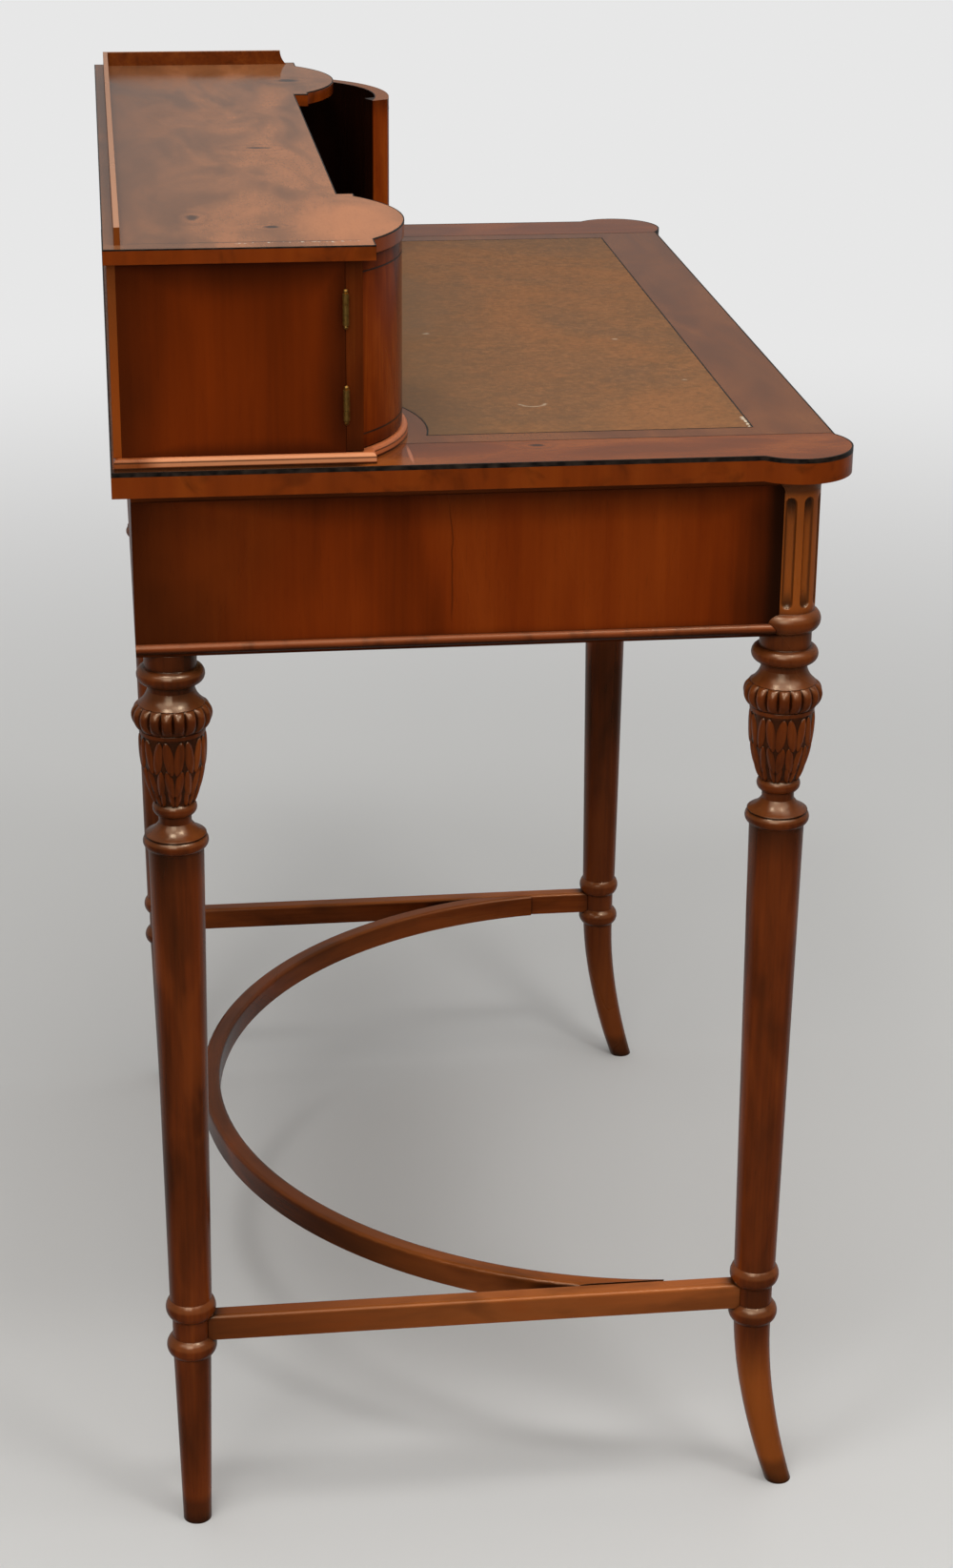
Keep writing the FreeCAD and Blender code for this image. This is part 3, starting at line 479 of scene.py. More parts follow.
# Old polish and painted shadow: darkest under the top's overhang and towards the back edge.
edges_aged_and_shaded(panel_wood, (
    ("Y", low[1], 0.05), ("Y", high[1], -0.14), ("Z", low[2], 0.014), ("Z", high[2], -0.032)), 0.8)
tree = panel_wood.node_tree
place = coordinates(tree)
depth = along(tree, place, "Y")
tint(panel_wood, remap(tree, depth, *column_shadow_depths, 0.85, 0.0), old_polish_and_shade)
wander = calc(tree, "MULTIPLY_ADD", noise(tree, place, 30.0), crack_wander, depth)
crack = times(tree, between(tree, wander, *crack_depths, soft=0.0006),
              between(tree, along(tree, place, "Z"), *crack_levels, soft=0.012), 0.6)
tint(panel_wood, crack, old_polish_and_shade)
dress(panel_wood, "frieze_end_left", "frieze_end_right")

front_wood = wood("front_veneer", "Z", *veneer_shades, figure=5.0)
dress(front_wood, "front_stile_left", "front_stile_right", "frieze_back")
rail_wood = wood("rail_veneer", "X", *veneer_shades)
dress(rail_wood, "front_rail_lower", "front_rail_upper")
bead_wood = wood("bead_wood", "Y", *bead_shades, shine=0.4)
# Painted highlight with some wear on the bead's upper side.
worn_and_lit(bead_wood, colour(178, 98, 54), 0.3)
tree = bead_wood.node_tree
# Painted shade on the bead's lower side.
tint(bead_wood, remap(tree, facing(tree, "Z"), -0.6, 0.2, 0.9, 0.0), old_polish_and_shade)
stained = noise(tree, coordinates(tree), 60.0, detail=3.0)
tint(bead_wood, remap(tree, stained, 0.5, 0.7, 0.0, 0.4), old_polish_and_shade)
grime_and_shade(bead_wood, 0.005, 0.9)
dress(bead_wood, "frieze_beads")
cove_wood = wood("cove_wood", "Y", *cove_shades)
grime_and_shade(cove_wood, 0.014, 0.9)
dress(cove_wood, "top_coves")


# Frame inside the frieze
# Corner blocks, drawer runners and kickers of plain unpolished wood, glued and out of sight,
# and the steel screws that hold the top and the upper case.
plain_shades = colour(128, 92, 54), colour(164, 124, 80), colour(188, 150, 104)
plain_wood = wood("inner_wood", "Y", *plain_shades, gloss=0.6, shine=0.15)
dress(plain_wood, "back_corner_blocks", "drawer_runners", "drawer_kickers")
steel, tree, shader = new_material("screw_steel", Metallic=1.0)
grime = noise(tree, coordinates(tree), 600.0)
feed(tree, shader, Base_Color=ramp(tree, grime, (0.3, colour(96, 92, 86)), (0.7, colour(150, 146, 138))),
     Roughness=remap(tree, grime, 0.3, 0.7, 0.3, 0.5))
dress(steel, "top_screws", "case_screws")


# Desk top
# A middle panel between two end clamps with round lobes over the front legs, veneered with swirling
# fruitwood and French polished. The edge is cross-banded and a line of ebonised wood runs round
# its arris; a thin joint shows where each clamp is tongued on.
edge_shades = colour(108, 43, 7), colour(119, 48, 8), colour(130, 57, 11)
panel_shades = colour(106, 59, 27), colour(117, 65, 29), colour(130, 75, 35)
clamp_shades = colour(112, 54, 17), colour(128, 62, 18), colour(146, 76, 27)
clamp_knots = ((-0.322, -0.0326, 0.004, 0.006),)
dust_reach = 0.3518, 0.3530
dust_depths = 0.072, 0.084
bare_patch = -0.3360, 0.0470, 0.017, 0.0010
bare_shade = colour(206, 128, 92)
arris_width = 0.0010
arris_drop = 0.0028
seam_x = 0.311
seam_back_y = 0.049
seam_width = 0.0006
line_rise = 0.00008
line_crease = math.radians(30)
weld_gap = 0.00002
joint_gap = 0.00005
level_gap = 0.0001
flat_angle = math.radians(1)
flat_limit = 0.9


def flat_top(tree):
    """1 on faces that look straight up, 0 on edges."""
    return remap(tree, facing(tree, "Z"), 0.7, 0.9, 0.0, 1.0)


def knot_distance(tree, place, x, y, half_x, half_y):
    """How far a point lies from the middle of an oval mark, 1 at the oval's own edge."""
    scale = (1 / half_x, 1 / half_y, 0.0)
    sockets = {"Vector": place, "Location": (-x / half_x, -y / half_y, 0.0), "Scale": scale}
    local = add(tree, "Mapping", sockets).outputs["Vector"]
    return add(tree, "VectorMath", {0: local}, operation="LENGTH").outputs["Value"]


def veneered_board(name, grain, dark, middle, light, knots=()):
    """A polished board: swirling veneer on top with a few dark knots, and a cross-banded edge."""
    made = wood(name, grain, dark, middle, light, figure=20.0, swirl=1.0, streaks=0.3, shine=0.5, gloss=0.07)
    tree = made.node_tree
    place = coordinates(tree)
    drawn = stretched(tree, place, grain, 0.35)
    pale_clouds = noise(tree, drawn, 30.0, distortion=0.8)
    dark_clouds = noise(tree, drawn, 22.0, detail=3.0, distortion=1.2)
    flecks = noise(tree, drawn, 420.0, detail=3.0)
    tint(made, remap(tree, pale_clouds, 0.45, 0.75, 0.0, 0.5), light)
    tint(made, remap(tree, dark_clouds, 0.5, 0.72, 0.0, 0.5), dark)
    tint(made, remap(tree, flecks, 0.5, 0.7, 0.0, 0.3), dark)
    drift = calc(tree, "MULTIPLY_ADD", noise(tree, place, 70.0), 1.2, -0.6)
    for knot in knots:
        reach = calc(tree, "ADD", knot_distance(tree, place, *knot), drift)
        rings = calc(tree, "MULTIPLY_ADD", calc(tree, "SINE", times(tree, reach, 4.0)), 0.5, 0.5)
        tint(made, times(tree, rings, remap(tree, reach, 0.8, 4.5, 0.2, 0.0)), old_polish_and_shade)
        tint(made, remap(tree, reach, 0.4, 1.0, 0.85, 0.0), old_polish_and_shade)
    bands = noise(tree, stretched(tree, place, "Z", 0.1), 60.0, detail=4.0)
    on_edge = remap(tree, facing(tree, "Z"), 0.4, 0.8, 1.0, 0.0)
    tint(made, on_edge, ramp(tree, bands, *zip((0.28, 0.5, 0.75), edge_shades)))
    stained = remap(tree, noise(tree, place, 45.0, detail=3.0, distortion=0.8), 0.5, 0.72, 0.0, 0.4)
    tint(made, times(tree, stained, on_edge), old_polish_and_shade)
    return made


panel_veneer = veneered_board("top_veneer", "X", *panel_shades)
dress(panel_veneer, "desk_top")
clamp_veneer = veneered_board("clamp_veneer", "Y", *clamp_shades, clamp_knots)
tree = clamp_veneer.node_tree
place = coordinates(tree)
aside = calc(tree, "ABSOLUTE", along(tree, place, "X"))
dusty = times(tree, remap(tree, aside, *dust_reach, 0.0, 0.85),
              remap(tree, along(tree, place, "Y"), *dust_depths, 0.0, 1.0), flat_top(tree))
tint(clamp_veneer, dusty, old_polish_and_shade)
tint(clamp_veneer, remap(tree, knot_distance(tree, place, *bare_patch), 0.6, 1.4, 0.6, 0.0), bare_shade)
dress(clamp_veneer, "top_clamp_left", "top_clamp_right")

ebony, tree, shader = new_material("ebonised_line", Specular_IOR_Level=0.35)
rub = noise(tree, coordinates(tree), 180.0, detail=3.0)
feed(tree, shader, Base_Color=ramp(tree, rub, (0.35, colour(14, 10, 7)), (0.75, colour(48, 34, 22))),
     Roughness=remap(tree, rub, 0.3, 0.7, 0.3, 0.5))


def chosen_faces(piece, keep):
    """Selects the faces that keep() picks by their place and normal, ready for edit mode."""
    bpy.ops.object.mode_set(mode="EDIT")
    bpy.ops.mesh.select_mode(type="FACE")
    bpy.ops.mesh.select_all(action="DESELECT")
    bpy.ops.object.mode_set(mode="OBJECT")
    for face in piece.data.polygons:
        face.select = keep(face.center, face.normal)
    bpy.ops.object.mode_set(mode="EDIT")


def face_copy(name, node_names, keep):
    """A new piece from the faces of CAD nodes that keep() picks, welded and free of inner edges."""
    bpy.ops.object.select_all(action="DESELECT")
    for node_name in node_names:
        copy = bpy.data.objects.new(name, nodes[node_name].data.copy())
        copy.data.materials.clear()
        bpy.context.scene.collection.objects.link(copy)
        copy.select_set(True)
    bpy.context.view_layer.objects.active = copy
    bpy.ops.object.join()
    piece = bpy.context.object
    bpy.ops.mesh.customdata_custom_splitnormals_clear()
    chosen_faces(piece, lambda centre, normal: not keep(centre, normal))
    bpy.ops.mesh.delete(type="FACE")
    bpy.ops.mesh.select_all(action="SELECT")
    bpy.ops.mesh.remove_doubles(threshold=weld_gap)
    bpy.ops.mesh.dissolve_limited(angle_limit=flat_angle)
    bpy.ops.object.mode_set(mode="OBJECT")
    piece.name = name
    return piece


def finished_line(piece, body):
    """Gives a line its thickness, just proud of the wood, its finish and the body that it rides on."""
    bpy.context.view_layer.objects.active = piece
    thickness = piece.modifiers.new("thickness", "SOLIDIFY")
    thickness.thickness = line_rise
    thickness.offset = 1.0
    bpy.ops.object.modifier_apply(modifier=thickness.name)
    bpy.ops.object.shade_smooth_by_angle(angle=line_crease)
    piece.data.materials.append(ebony)
    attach(piece, body)


def edge_line(piece, width, drop):
    """Keeps a line along a flat face's outline and turns it down over the edge."""
    if drop:
        bpy.ops.object.mode_set(mode="EDIT")
        bpy.ops.mesh.select_mode(type="EDGE")
        bpy.ops.mesh.select_all(action="SELECT")
        bpy.ops.mesh.extrude_edges_move(TRANSFORM_OT_translate={"value": (0.0, 0.0, -drop)})
        bpy.ops.mesh.select_all(action="SELECT")
        bpy.ops.mesh.normals_make_consistent(inside=False)
        bpy.ops.object.mode_set(mode="OBJECT")
    chosen_faces(piece, lambda centre, normal: abs(normal.z) > flat_limit)
    bpy.ops.mesh.inset(thickness=width, use_boundary=True)
    bpy.ops.mesh.delete(type="FACE")
    bpy.ops.object.mode_set(mode="OBJECT")
    if any(face.normal.z < -flat_limit for face in piece.data.polygons):
        piece.data.flip_normals()


low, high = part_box("desk_top")
top_level = high[2]
arris = face_copy(
    "top_arris_line", ("top_clamp_left", "top_clamp_right"),
    lambda centre, normal: normal.z > flat_limit and centre.z > top_level - level_gap)
panel_middle = (0.0, (low[1] + high[1]) / 2, top_level)
panel_half_size = (seam_x, (high[1] - low[1]) / 2, 1.0)
bpy.ops.object.mode_set(mode="EDIT")
bpy.ops.mesh.select_all(action="DESELECT")
bpy.ops.mesh.primitive_plane_add(size=2.0, location=panel_middle)
bpy.ops.transform.resize(value=panel_half_size, center_override=panel_middle)
bpy.ops.mesh.select_all(action="SELECT")
bpy.ops.mesh.remove_doubles(threshold=joint_gap)
bpy.ops.mesh.dissolve_limited(angle_limit=flat_angle)
bpy.ops.object.mode_set(mode="OBJECT")
edge_line(arris, arris_width, arris_drop)
finished_line(arris, "carcase")

seam_middle_y = (low[1] + seam_back_y) / 2
bpy.ops.object.select_all(action="DESELECT")
for side, x in (("left", -seam_x), ("right", seam_x)):
    bpy.ops.mesh.primitive_plane_add(size=1.0, location=(x, seam_middle_y, top_level))
    seam = bpy.context.object
    seam.name = "clamp_seam_" + side
    seam.scale = (seam_width, seam_back_y - low[1], 1.0)
    bpy.ops.object.transform_apply(location=True, rotation=False, scale=True)
    finished_line(seam, "carcase")


# Writing leather
# A skin of brown hide let into the top, flush with the wood, its grain rubbed smooth and streaked,
# with pale scuffs and a chipped corner. A fine dark string is let in round it.
hide_shades = colour(117, 80, 46), colour(130, 87, 49), colour(143, 93, 52)
pebble_shade = colour(96, 66, 38)
pebble_depth = 0.0003
dark_mottle_shade = colour(100, 70, 42)
pale_mottle_shade = colour(158, 108, 64)
scuffs = (
    (-0.2780, -0.1726, 0.020, 0.0022, 1.0), (-0.0536, -0.1272, 0.003, 0.004, 0.5),
    (-0.1699, -0.1552, 0.003, 0.006, 0.5), (-0.0244, 0.0040, 0.003, 0.005, 0.5))
scuff_shade = colour(214, 198, 172)
ring_mark = -0.2225, -0.0440, 0.0075, 0.0085
ring_mark_end = -0.2240, -0.2220
hide_shade_depths = -0.06, 0.05
painted_hide_shade = colour(108, 82, 50)
leather_string_width = 0.0010

hide, tree, shader = new_material("writing_hide", Specular_IOR_Level=0.3)
place = coordinates(tree)
blotch = noise(tree, place, 7.0, detail=3.0, distortion=0.7)
streak = noise(tree, stretched(tree, place, "Y", 0.6), 90.0, detail=4.0, distortion=1.2)
pebble = noise(tree, place, 1100.0)
mottle = noise(tree, place, 240.0, detail=3.0, distortion=0.6)
tone = calc(tree, "MULTIPLY_ADD", streak, 0.4, times(tree, blotch, 0.6))
tone = remap(tree, tone, 0.34, 0.66, 0.0, 1.0)
bump = add(tree, "Bump", {"Strength": 0.25, "Distance": pebble_depth, "Height": pebble})
feed(tree, shader, Base_Color=ramp(tree, tone, *zip((0.0, 0.5, 1.0), hide_shades)),
     Roughness=remap(tree, blotch, 0.3, 0.7, 0.38, 0.5), Normal=bump.outputs["Normal"])
tint(hide, remap(tree, pebble, 0.55, 0.75, 0.0, 0.25), pebble_shade)
tint(hide, remap(tree, mottle, 0.45, 0.7, 0.0, 0.35), dark_mottle_shade)
tint(hide, remap(tree, mottle, 0.5, 0.3, 0.0, 0.35), pale_mottle_shade)
torn = times(tree, noise(tree, stretched(tree, place, "Y", 0.5), 300.0, detail=3.0), 3.0)
for *oval, strength in scuffs:
    reach = calc(tree, "ADD", knot_distance(tree, place, *oval), torn)
    tint(hide, remap(tree, reach, 1.7, 2.1, strength, 0.0), scuff_shade)
ring = calc(tree, "MULTIPLY_ADD", torn, 0.12, knot_distance(tree, place, *ring_mark))
ring = times(tree, between(tree, ring, 1.05, 1.3, soft=0.08),
             remap(tree, along(tree, place, "X"), *ring_mark_end, 0.35, 0.0))
tint(hide, ring, scuff_shade)
# Painted shade towards the back of the leather.
tint(hide, remap(tree, along(tree, place, "Y"), *hide_shade_depths, 0.0, 0.45), painted_hide_shade)
dress(hide, "writing_leather")

string = face_copy("leather_string", ("writing_leather",), lambda centre, normal: normal.z > flat_limit)
edge_line(string, leather_string_width, 0.0)
finished_line(string, "carcase")


# Upper case
# A low case on a moulded base board, screwed to the top: two ends, a back, two partitions and
# a polished top board with a bow over each cupboard. The left gallery rail is gone and its glue
# line shows, with chips along the edge.
back_shades = colour(70, 30, 8), colour(96, 42, 11), colour(112, 54, 16)
end_grain_shade = colour(138, 62, 12)
case_end_reach = 0.3485, 0.3495
end_grain_levels = 0.79, 0.87
lining_shades = colour(16, 8, 4), colour(26, 13, 6), colour(38, 20, 9)
base_shades = colour(96, 42, 14), colour(126, 58, 22), colour(148, 76, 34)
foot_line_rise = 0.0008, 0.0014
ridge_rise = 0.0012, 0.0018
quirk_rise = 0.0036, 0.0045
moulded_depths = 0.195, 0.212
ridge_wear_and_highlight = colour(210, 120, 72)
ridge_end_x = -0.3525, -0.3505
ridge_end_highlight = colour(250, 178, 128)
board_shades = colour(128, 82, 50), colour(154, 99, 61), colour(178, 114, 71)
board_knots = (
    (-0.029, 0.120, 0.006, 0.011), (-0.268, 0.173, 0.011, 0.005), (-0.299, 0.1265, 0.005, 0.006),
    (0.264, 0.081, 0.009, 0.012))
board_thickness = 0.009
glue_line_x = -0.3412, -0.3396
glue_line_wander = 0.0016
glue_line_depths = 0.076, 0.214
back_shade_depths = 0.125, 0.215
painted_back_shade = colour(100, 66, 44)
sheen_patch = -0.285, 0.078, 0.060, 0.034
sheen_shade = colour(212, 132, 80)
chip_x = -0.346, -0.3425
chip_depths = 0.080, 0.150
chip_shade = colour(222, 206, 184)
case_arris_width = 0.0007
case_arris_drop = 0.0008

end_wood = wood("case_end_veneer", "Z", *veneer_shades, figure=4.0, streaks=0.5)
low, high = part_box("case_side_left")
# Old polish and painted shadow: darker towards the edges, most under the top board's overhang.
edges_aged_and_shaded(end_wood, (
    ("Y", low[1], 0.022), ("Y", high[1], -0.05), ("Z", low[2], 0.012), ("Z", high[2], -0.03)), 0.65)
dress(end_wood, "case_side_left", "case_side_right")

back_wood = wood("case_back_wood", "X", *back_shades, gloss=0.4)
tree = back_wood.node_tree
place = coordinates(tree)
aside = calc(tree, "ABSOLUTE", along(tree, place, "X"))
end_grain = times(tree, remap(tree, aside, *case_end_reach, 0.0, 1.0),
                  remap(tree, along(tree, place, "Z"), *end_grain_levels, 1.0, 0.1))
tint(back_wood, end_grain, end_grain_shade)
dress(back_wood, "case_back")

lining_wood = wood("case_lining", "Z", *lining_shades, gloss=0.5)
dress(lining_wood, "case_partition_left", "case_partition_right", "case_shelf")

base_wood = wood("case_base_wood", "X", *base_shades, shine=0.4)
tree = base_wood.node_tree
place = coordinates(tree)
rise = calc(tree, "SUBTRACT", along(tree, place, "Z"), top_level)
# Painted highlight with some wear along the moulding's ridge, palest at the left end.
ridge = times(tree, remap(tree, rise, *ridge_rise, 0.0, 0.75),
              remap(tree, along(tree, place, "Y"), *moulded_depths, 1.0, 0.0))
tint(base_wood, ridge, ridge_wear_and_highlight)
ridge_end = times(tree, ridge, remap(tree, along(tree, place, "X"), *ridge_end_x, 0.5, 0.0))
tint(base_wood, ridge_end, ridge_end_highlight)
tint(base_wood, times(tree, between(tree, rise, *quirk_rise, soft=0.0002), 0.75), old_polish_and_shade)
tint(base_wood, remap(tree, rise, *foot_line_rise, 0.85, 0.0), old_polish_and_shade)
dress(base_wood, "case_base")

board_veneer = veneered_board("case_top_veneer", "X", *board_shades, board_knots)
tree = board_veneer.node_tree
place = coordinates(tree)
across = along(tree, place, "X")
depth = along(tree, place, "Y")
on_top = flat_top(tree)
wander = calc(tree, "MULTIPLY_ADD", noise(tree, place, 60.0), glue_line_wander, across)
glue_line = times(tree, between(tree, wander, *glue_line_x, soft=0.0004),
                  between(tree, depth, *glue_line_depths, soft=0.002), on_top, 0.75)
tint(board_veneer, glue_line, old_polish_and_shade)
# Painted shade towards the back of the top board.
tint(board_veneer, times(tree, remap(tree, depth, *back_shade_depths, 0.0, 0.6), on_top), painted_back_shade)
# Painted sheen by the front of the left bow, with a ragged edge.
ragged = noise(tree, stretched(tree, place, "X", 0.35), 34.0, detail=3.0, distortion=0.8)
ragged = calc(tree, "MULTIPLY_ADD", ragged, 3.0, -1.5)
bright = calc(tree, "ADD", knot_distance(tree, place, *sheen_patch), ragged)
tint(board_veneer, times(tree, remap(tree, bright, 0.2, 1.8, 0.5, 0.0), on_top), sheen_shade)
chips = remap(tree, noise(tree, place, 380.0, detail=3.0), 0.56, 0.64, 0.0, 0.85)
chips = times(tree, chips, between(tree, across, *chip_x, soft=0.0008),
              between(tree, depth, *chip_depths, soft=0.012))
tint(board_veneer, chips, chip_shade)
dress(board_veneer, "case_top")

case_arris = face_copy("case_top_arris_line", ("case_top",), lambda centre, normal: normal.z < -flat_limit)
bpy.ops.object.mode_set(mode="EDIT")
bpy.ops.mesh.select_all(action="SELECT")
bpy.ops.transform.translate(value=(0.0, 0.0, board_thickness))
bpy.ops.mesh.flip_normals()
bpy.ops.object.mode_set(mode="OBJECT")
edge_line(case_arris, case_arris_width, case_arris_drop)
finished_line(case_arris, "carcase")


# Cupboard doors
# Bow-fronted doors, veneered upright on a shaped core, each hung on two brass butts. A dark string
# is let into the bow near its head and foot. The doors are stained dark inside, and the cupboard
# floors are darkened to the lining's tone.
hinge_axis = Vector((0.3529, 0.0869))
bow_middle = Vector((0.272, 0.1455))
bow_radius = 0.0995
bow_slack = 0.0004
door_thickness = 0.011
rest_turn = math.radians(27)
string_width = 0.0009
string_margin = 0.0085
door_shades = colour(88, 31, 5), colour(120, 46, 6), colour(146, 66, 14)
hinge_gap_shadow = colour(50, 20, 5)
hinge_gap_shadow_fade = 0.0004, 0.0016
top_edge_highlight = colour(160, 102, 64)
inside_stain = colour(14, 7, 4)
inside_fade = 0.0003, 0.0012
cupboard_floor_dark = colour(34, 17, 8)
floor_margin = 0.0012, 0.0004


def open_door_coordinates(tree):
    """Coordinates of the open right door, swung back and mirrored to match the left one."""
    sockets = {"Vector": coordinates(tree), "Center": (*hinge_axis, 0.0), "Angle": -rest_turn}
    shut = add(tree, "VectorRotate", sockets, rotation_type="Z_AXIS").outputs[0]
    return add(tree, "VectorMath", {0: shut, 1: (-1.0, 1.0, 1.0)}, operation="MULTIPLY").outputs[0]


# The cupboard floors are darkened to the lining's tone.
tree = base_wood.node_tree
place = coordinates(tree)
aside = calc(tree, "ABSOLUTE", along(tree, place, "X"))
bow_fade = [bow_radius - margin for margin in floor_margin]
cupboard_floor = times(tree, remap(tree, from_upright(tree, place, *bow_middle), *bow_fade, 1.0, 0.0),
                       remap(tree, aside, *case_end_reach, 0.9, 0.0), flat_top(tree))
tint(base_wood, cupboard_floor, cupboard_floor_dark)

low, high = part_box("left_door")
for node_name, place_of in (("left_door", coordinates), ("right_door", open_door_coordinates)):
    door_wood = wood(node_name + "_veneer", "Z", *door_shades, figure=9.0, swirl=1.6, place_of=place_of)
    edges_aged_and_shaded(door_wood, (("Z", low[2], 0.012), ("Z", high[2], -0.016)), 0.5, place_of)
    tree = door_wood.node_tree
    place = place_of(tree)
    from_edge = calc(tree, "SUBTRACT", along(tree, place, "X"), low[0])
    # Painted shadow along the door's hinge edge, by the gap at the case end.
    tint(door_wood, remap(tree, from_edge, *hinge_gap_shadow_fade, 0.6, 0.0), hinge_gap_shadow)
    # Painted highlight on the doors' top edges.
    tint(door_wood, times(tree, flat_top(tree), 0.6), top_edge_highlight)
    reach = from_upright(tree, place, *bow_middle)
    from_inside = calc(tree, "SUBTRACT", reach, bow_radius - door_thickness)
    tint(door_wood, remap(tree, from_inside, *inside_fade, 0.95, 0.0), inside_stain)
    dress(door_wood, node_name)

string_edges = []
for level in (low[2] + string_margin, high[2] - string_margin):
    string_edges.append((level - string_width / 2, level + string_width / 2))
swung = hinge_axis + Matrix.Rotation(rest_turn, 2) @ (bow_middle - hinge_axis)
for node_name, middle in (("left_door", Vector((-bow_middle.x, bow_middle.y))), ("right_door", swung)):
    strings = face_copy(
        node_name + "_strings", (node_name,),
        lambda centre, normal: abs((centre.xy - middle).length - bow_radius) < bow_slack
        and normal.xy.dot(centre.xy - middle) > bow_radius / 2)
    bpy.ops.object.mode_set(mode="EDIT")
    for level in string_edges[0] + string_edges[1]:
        bpy.ops.mesh.select_all(action="SELECT")
        bpy.ops.mesh.bisect(plane_co=(0.0, 0.0, level), plane_no=(0.0, 0.0, 1.0))
    bpy.ops.object.mode_set(mode="OBJECT")
    chosen_faces(strings, lambda centre, normal: not any(a < centre.z < b for a, b in string_edges))
    bpy.ops.mesh.delete(type="FACE")
    bpy.ops.object.mode_set(mode="OBJECT")
    finished_line(strings, node_name)


# Hinges
# Two small cast brass butts to each door, let in flush, with a ball tip to each pin. The brass is
# bare and has tarnished unevenly.
brass, tree, shader = new_material("aged_brass", Metallic=1.0)
tarnish = noise(tree, coordinates(tree), 260.0, detail=3.0)
feed(tree, shader, Base_Color=ramp(tree, tarnish, (0.3, colour(120, 82, 34)), (0.7, colour(204, 160, 84))),
     Roughness=remap(tree, tarnish, 0.3, 0.7, 0.6, 0.4))
for side in ("left", "right"):
    dress(brass, side + "_hinge_frame_leaves", side + "_hinge_door_leaves", side + "_hinge_pins")


# Gallery
# A low rail of thin stained strips, let into a groove in the top board along the back and the right
# end, with a painted highlight along its top.
gallery_shades = colour(70, 28, 4), colour(100, 42, 7), colour(124, 60, 14)
rail_top_highlight = colour(206, 152, 116)
gallery_wood = wood("gallery_wood", "X", *gallery_shades, shine=0.3)
tree = gallery_wood.node_tree
# Painted highlight along the rail's top.
tint(gallery_wood, remap(tree, facing(tree, "Z"), 0.6, 0.9, 0.0, 0.7), rail_top_highlight)
dress(gallery_wood, "gallery_back", "gallery_end")


# Drawers
# One long drawer in the frieze and two stacked drawers between the cupboards: veneered fronts,
# plain unpolished boxes and turned brass knobs.
for drawer in ("frieze_drawer", "lower_drawer", "upper_drawer"):
    dress(rail_wood, drawer + "_front")
    dress(plain_wood, drawer + "_sides", drawer + "_back", drawer + "_bottom")
    dress(brass, drawer + "_knobs")


# Floor, light and camera
# A plain pale floor that fades into a pale backdrop, and soft lamps. The camera stands where the
# photograph was taken, off the left end and a little above the top.
backdrop = 0.80
floor_size = 40.0
floor_fade = 0.7, 3.2
room_strength = 0.4
far_wall_heading = -0.1, 0.7
far_wall_strength = 0.05, 0.24
soft_box_rise = 0.62, 0.93
soft_box_heading = -0.3, -0.15
soft_box_strength = 2.2
desk_end = (-0.2, 0.0, 0.6)
camera_place = (-2.0841, 0.2285, 1.2521)
camera_heading = -0.1273
camera_tilt = 0.3827
camera_roll = 0.0085
camera_lens = 68.58
film_height = 36.0

bpy.ops.object.select_all(action="DESELECT")
bpy.ops.mesh.primitive_plane_add(size=floor_size, location=(0.0, 0.0, 0.0))
floor = bpy.context.object
floor.name = "floor"
floor_paint, tree, shader = new_material(
    "floor_paint", Base_Color=colour(226, 225, 222), Roughness=0.6, Specular_IOR_Level=0.2)
reach = add(tree, "VectorMath", {0: coordinates(tree)}, operation="LENGTH").outputs["Value"]
path = add(tree, "LightPath").outputs
far = times(tree, remap(tree, reach, *floor_fade, 0.0, 1.0), path["Is Camera Ray"])
glow = add(tree, "Emission", {"Color": (backdrop, backdrop, backdrop, 1.0), "Strength": 1.0})
blend = add(tree, "MixShader", {0: far, 1: shader.outputs[0], 2: glow.outputs[0]})
tree.links.new(blend.outputs[0], tree.nodes["Material Output"].inputs["Surface"])
floor.data.materials.append(floor_paint)
floor.visible_glossy = False

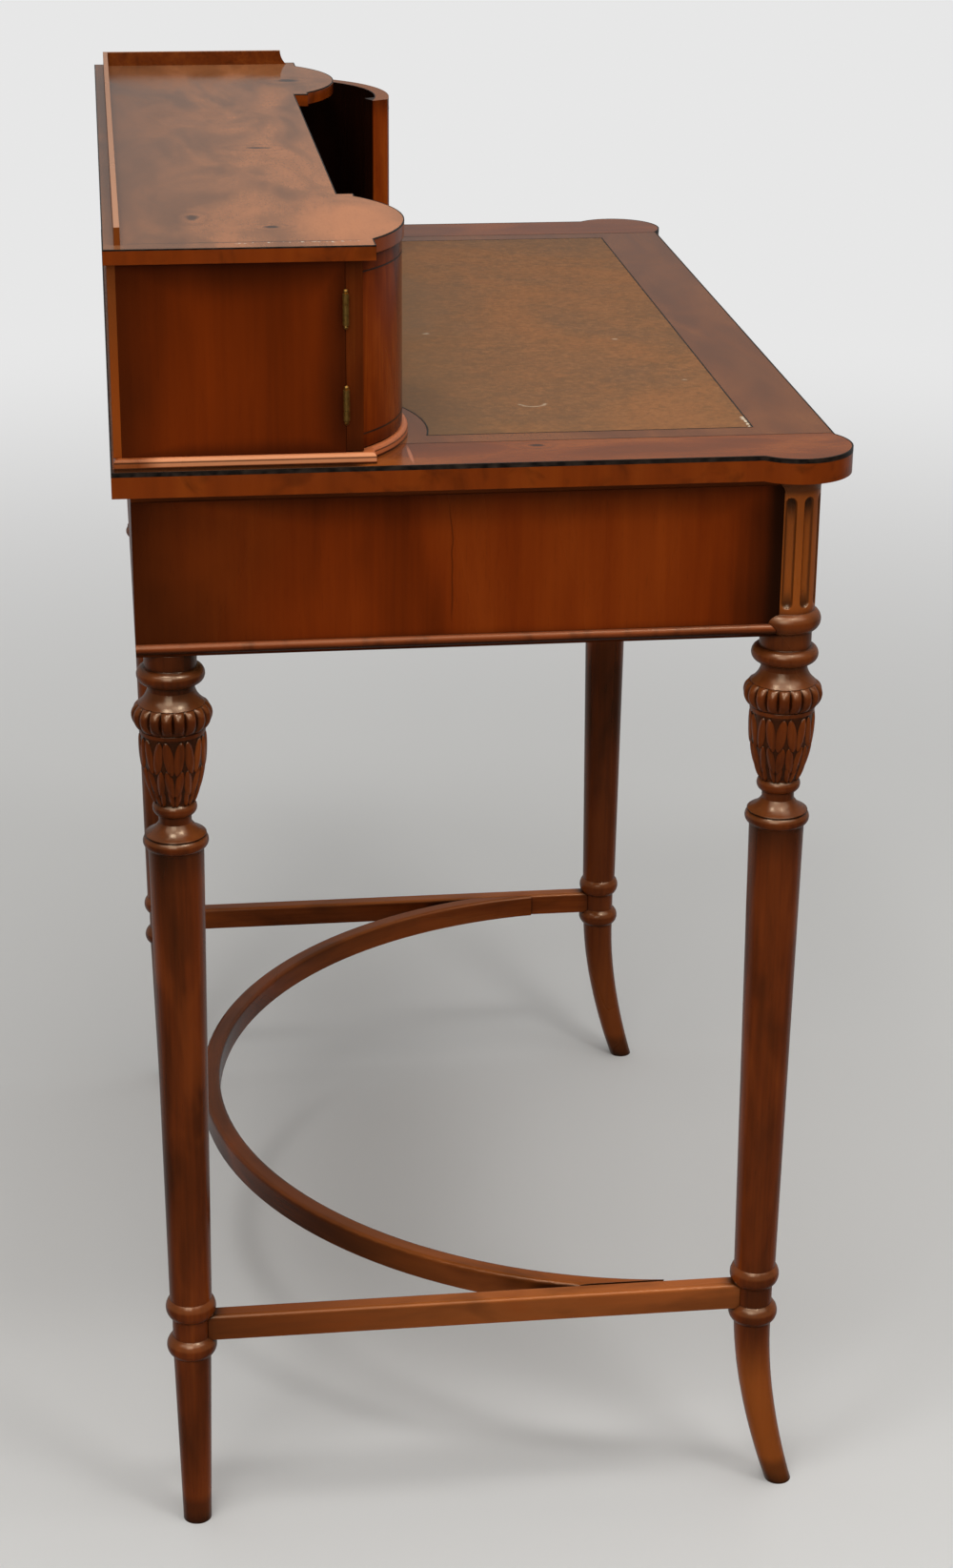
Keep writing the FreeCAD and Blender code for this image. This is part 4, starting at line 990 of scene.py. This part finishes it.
world = bpy.data.worlds.new("studio")
bpy.context.scene.world = world
world.use_nodes = True
tree = world.node_tree
path = add(tree, "LightPath").outputs
direction = add(tree, "TexCoord").outputs["Generated"]
ahead = along(tree, direction, "X")
far_wall = remap(tree, ahead, *far_wall_heading, *far_wall_strength)
soft_box = times(tree, between(tree, along(tree, direction, "Z"), *soft_box_rise, soft=0.05),
                 remap(tree, ahead, *soft_box_heading, soft_box_strength, 0.0))
mirrored = calc(tree, "SUBTRACT", calc(tree, "MAXIMUM", far_wall, soft_box), room_strength)
strength = calc(tree, "MULTIPLY_ADD", path["Is Glossy Ray"], mirrored, room_strength)
seen = calc(tree, "MAXIMUM", path["Is Camera Ray"], path["Is Transmission Ray"])
strength = calc(tree, "MULTIPLY_ADD", seen, calc(tree, "SUBTRACT", backdrop, strength), strength)
sky = tree.nodes["Background"]
sky.inputs["Color"].default_value = (1.0, 1.0, 1.0, 1.0)
feed(tree, sky, Strength=strength)


def lamp(name, size, power, place, target):
    """A soft square lamp, turned to its target."""
    light = bpy.data.lights.new(name, "AREA")
    light.size = size
    light.energy = power
    holder = bpy.data.objects.new(name, light)
    bpy.context.scene.collection.objects.link(holder)
    holder.location = place
    holder.rotation_euler = (Vector(target) - Vector(place)).to_track_quat("-Z", "Y").to_euler()


lamp("ceiling_lamp", size=1.8, power=18.0, place=(-0.4, -0.3, 2.7), target=(0.0, 0.0, 0.6))
lamp("back_lamp", size=0.4, power=8.0, place=(-0.85, 0.6, 2.6), target=desk_end)
lamp("front_lamp", size=0.4, power=8.0, place=(-1.2, -0.7, 2.6), target=desk_end)
lamp("window_lamp", size=1.2, power=14.0, place=(-2.2, 0.6, 2.0), target=desk_end)

camera = bpy.data.objects.new("camera", bpy.data.cameras.new("camera"))
bpy.context.scene.collection.objects.link(camera)
bpy.context.scene.camera = camera
camera.data.sensor_fit = "VERTICAL"
camera.data.sensor_height = film_height
camera.data.lens = camera_lens
heading = Matrix.Rotation(camera_heading - math.pi / 2, 4, "Z")
tilt = Matrix.Rotation(math.pi / 2 - camera_tilt, 4, "X")
roll = Matrix.Rotation(camera_roll, 4, "Z")
camera.matrix_world = Matrix.Translation(camera_place) @ heading @ tilt @ roll

bpy.context.scene.view_settings.view_transform = "Standard"
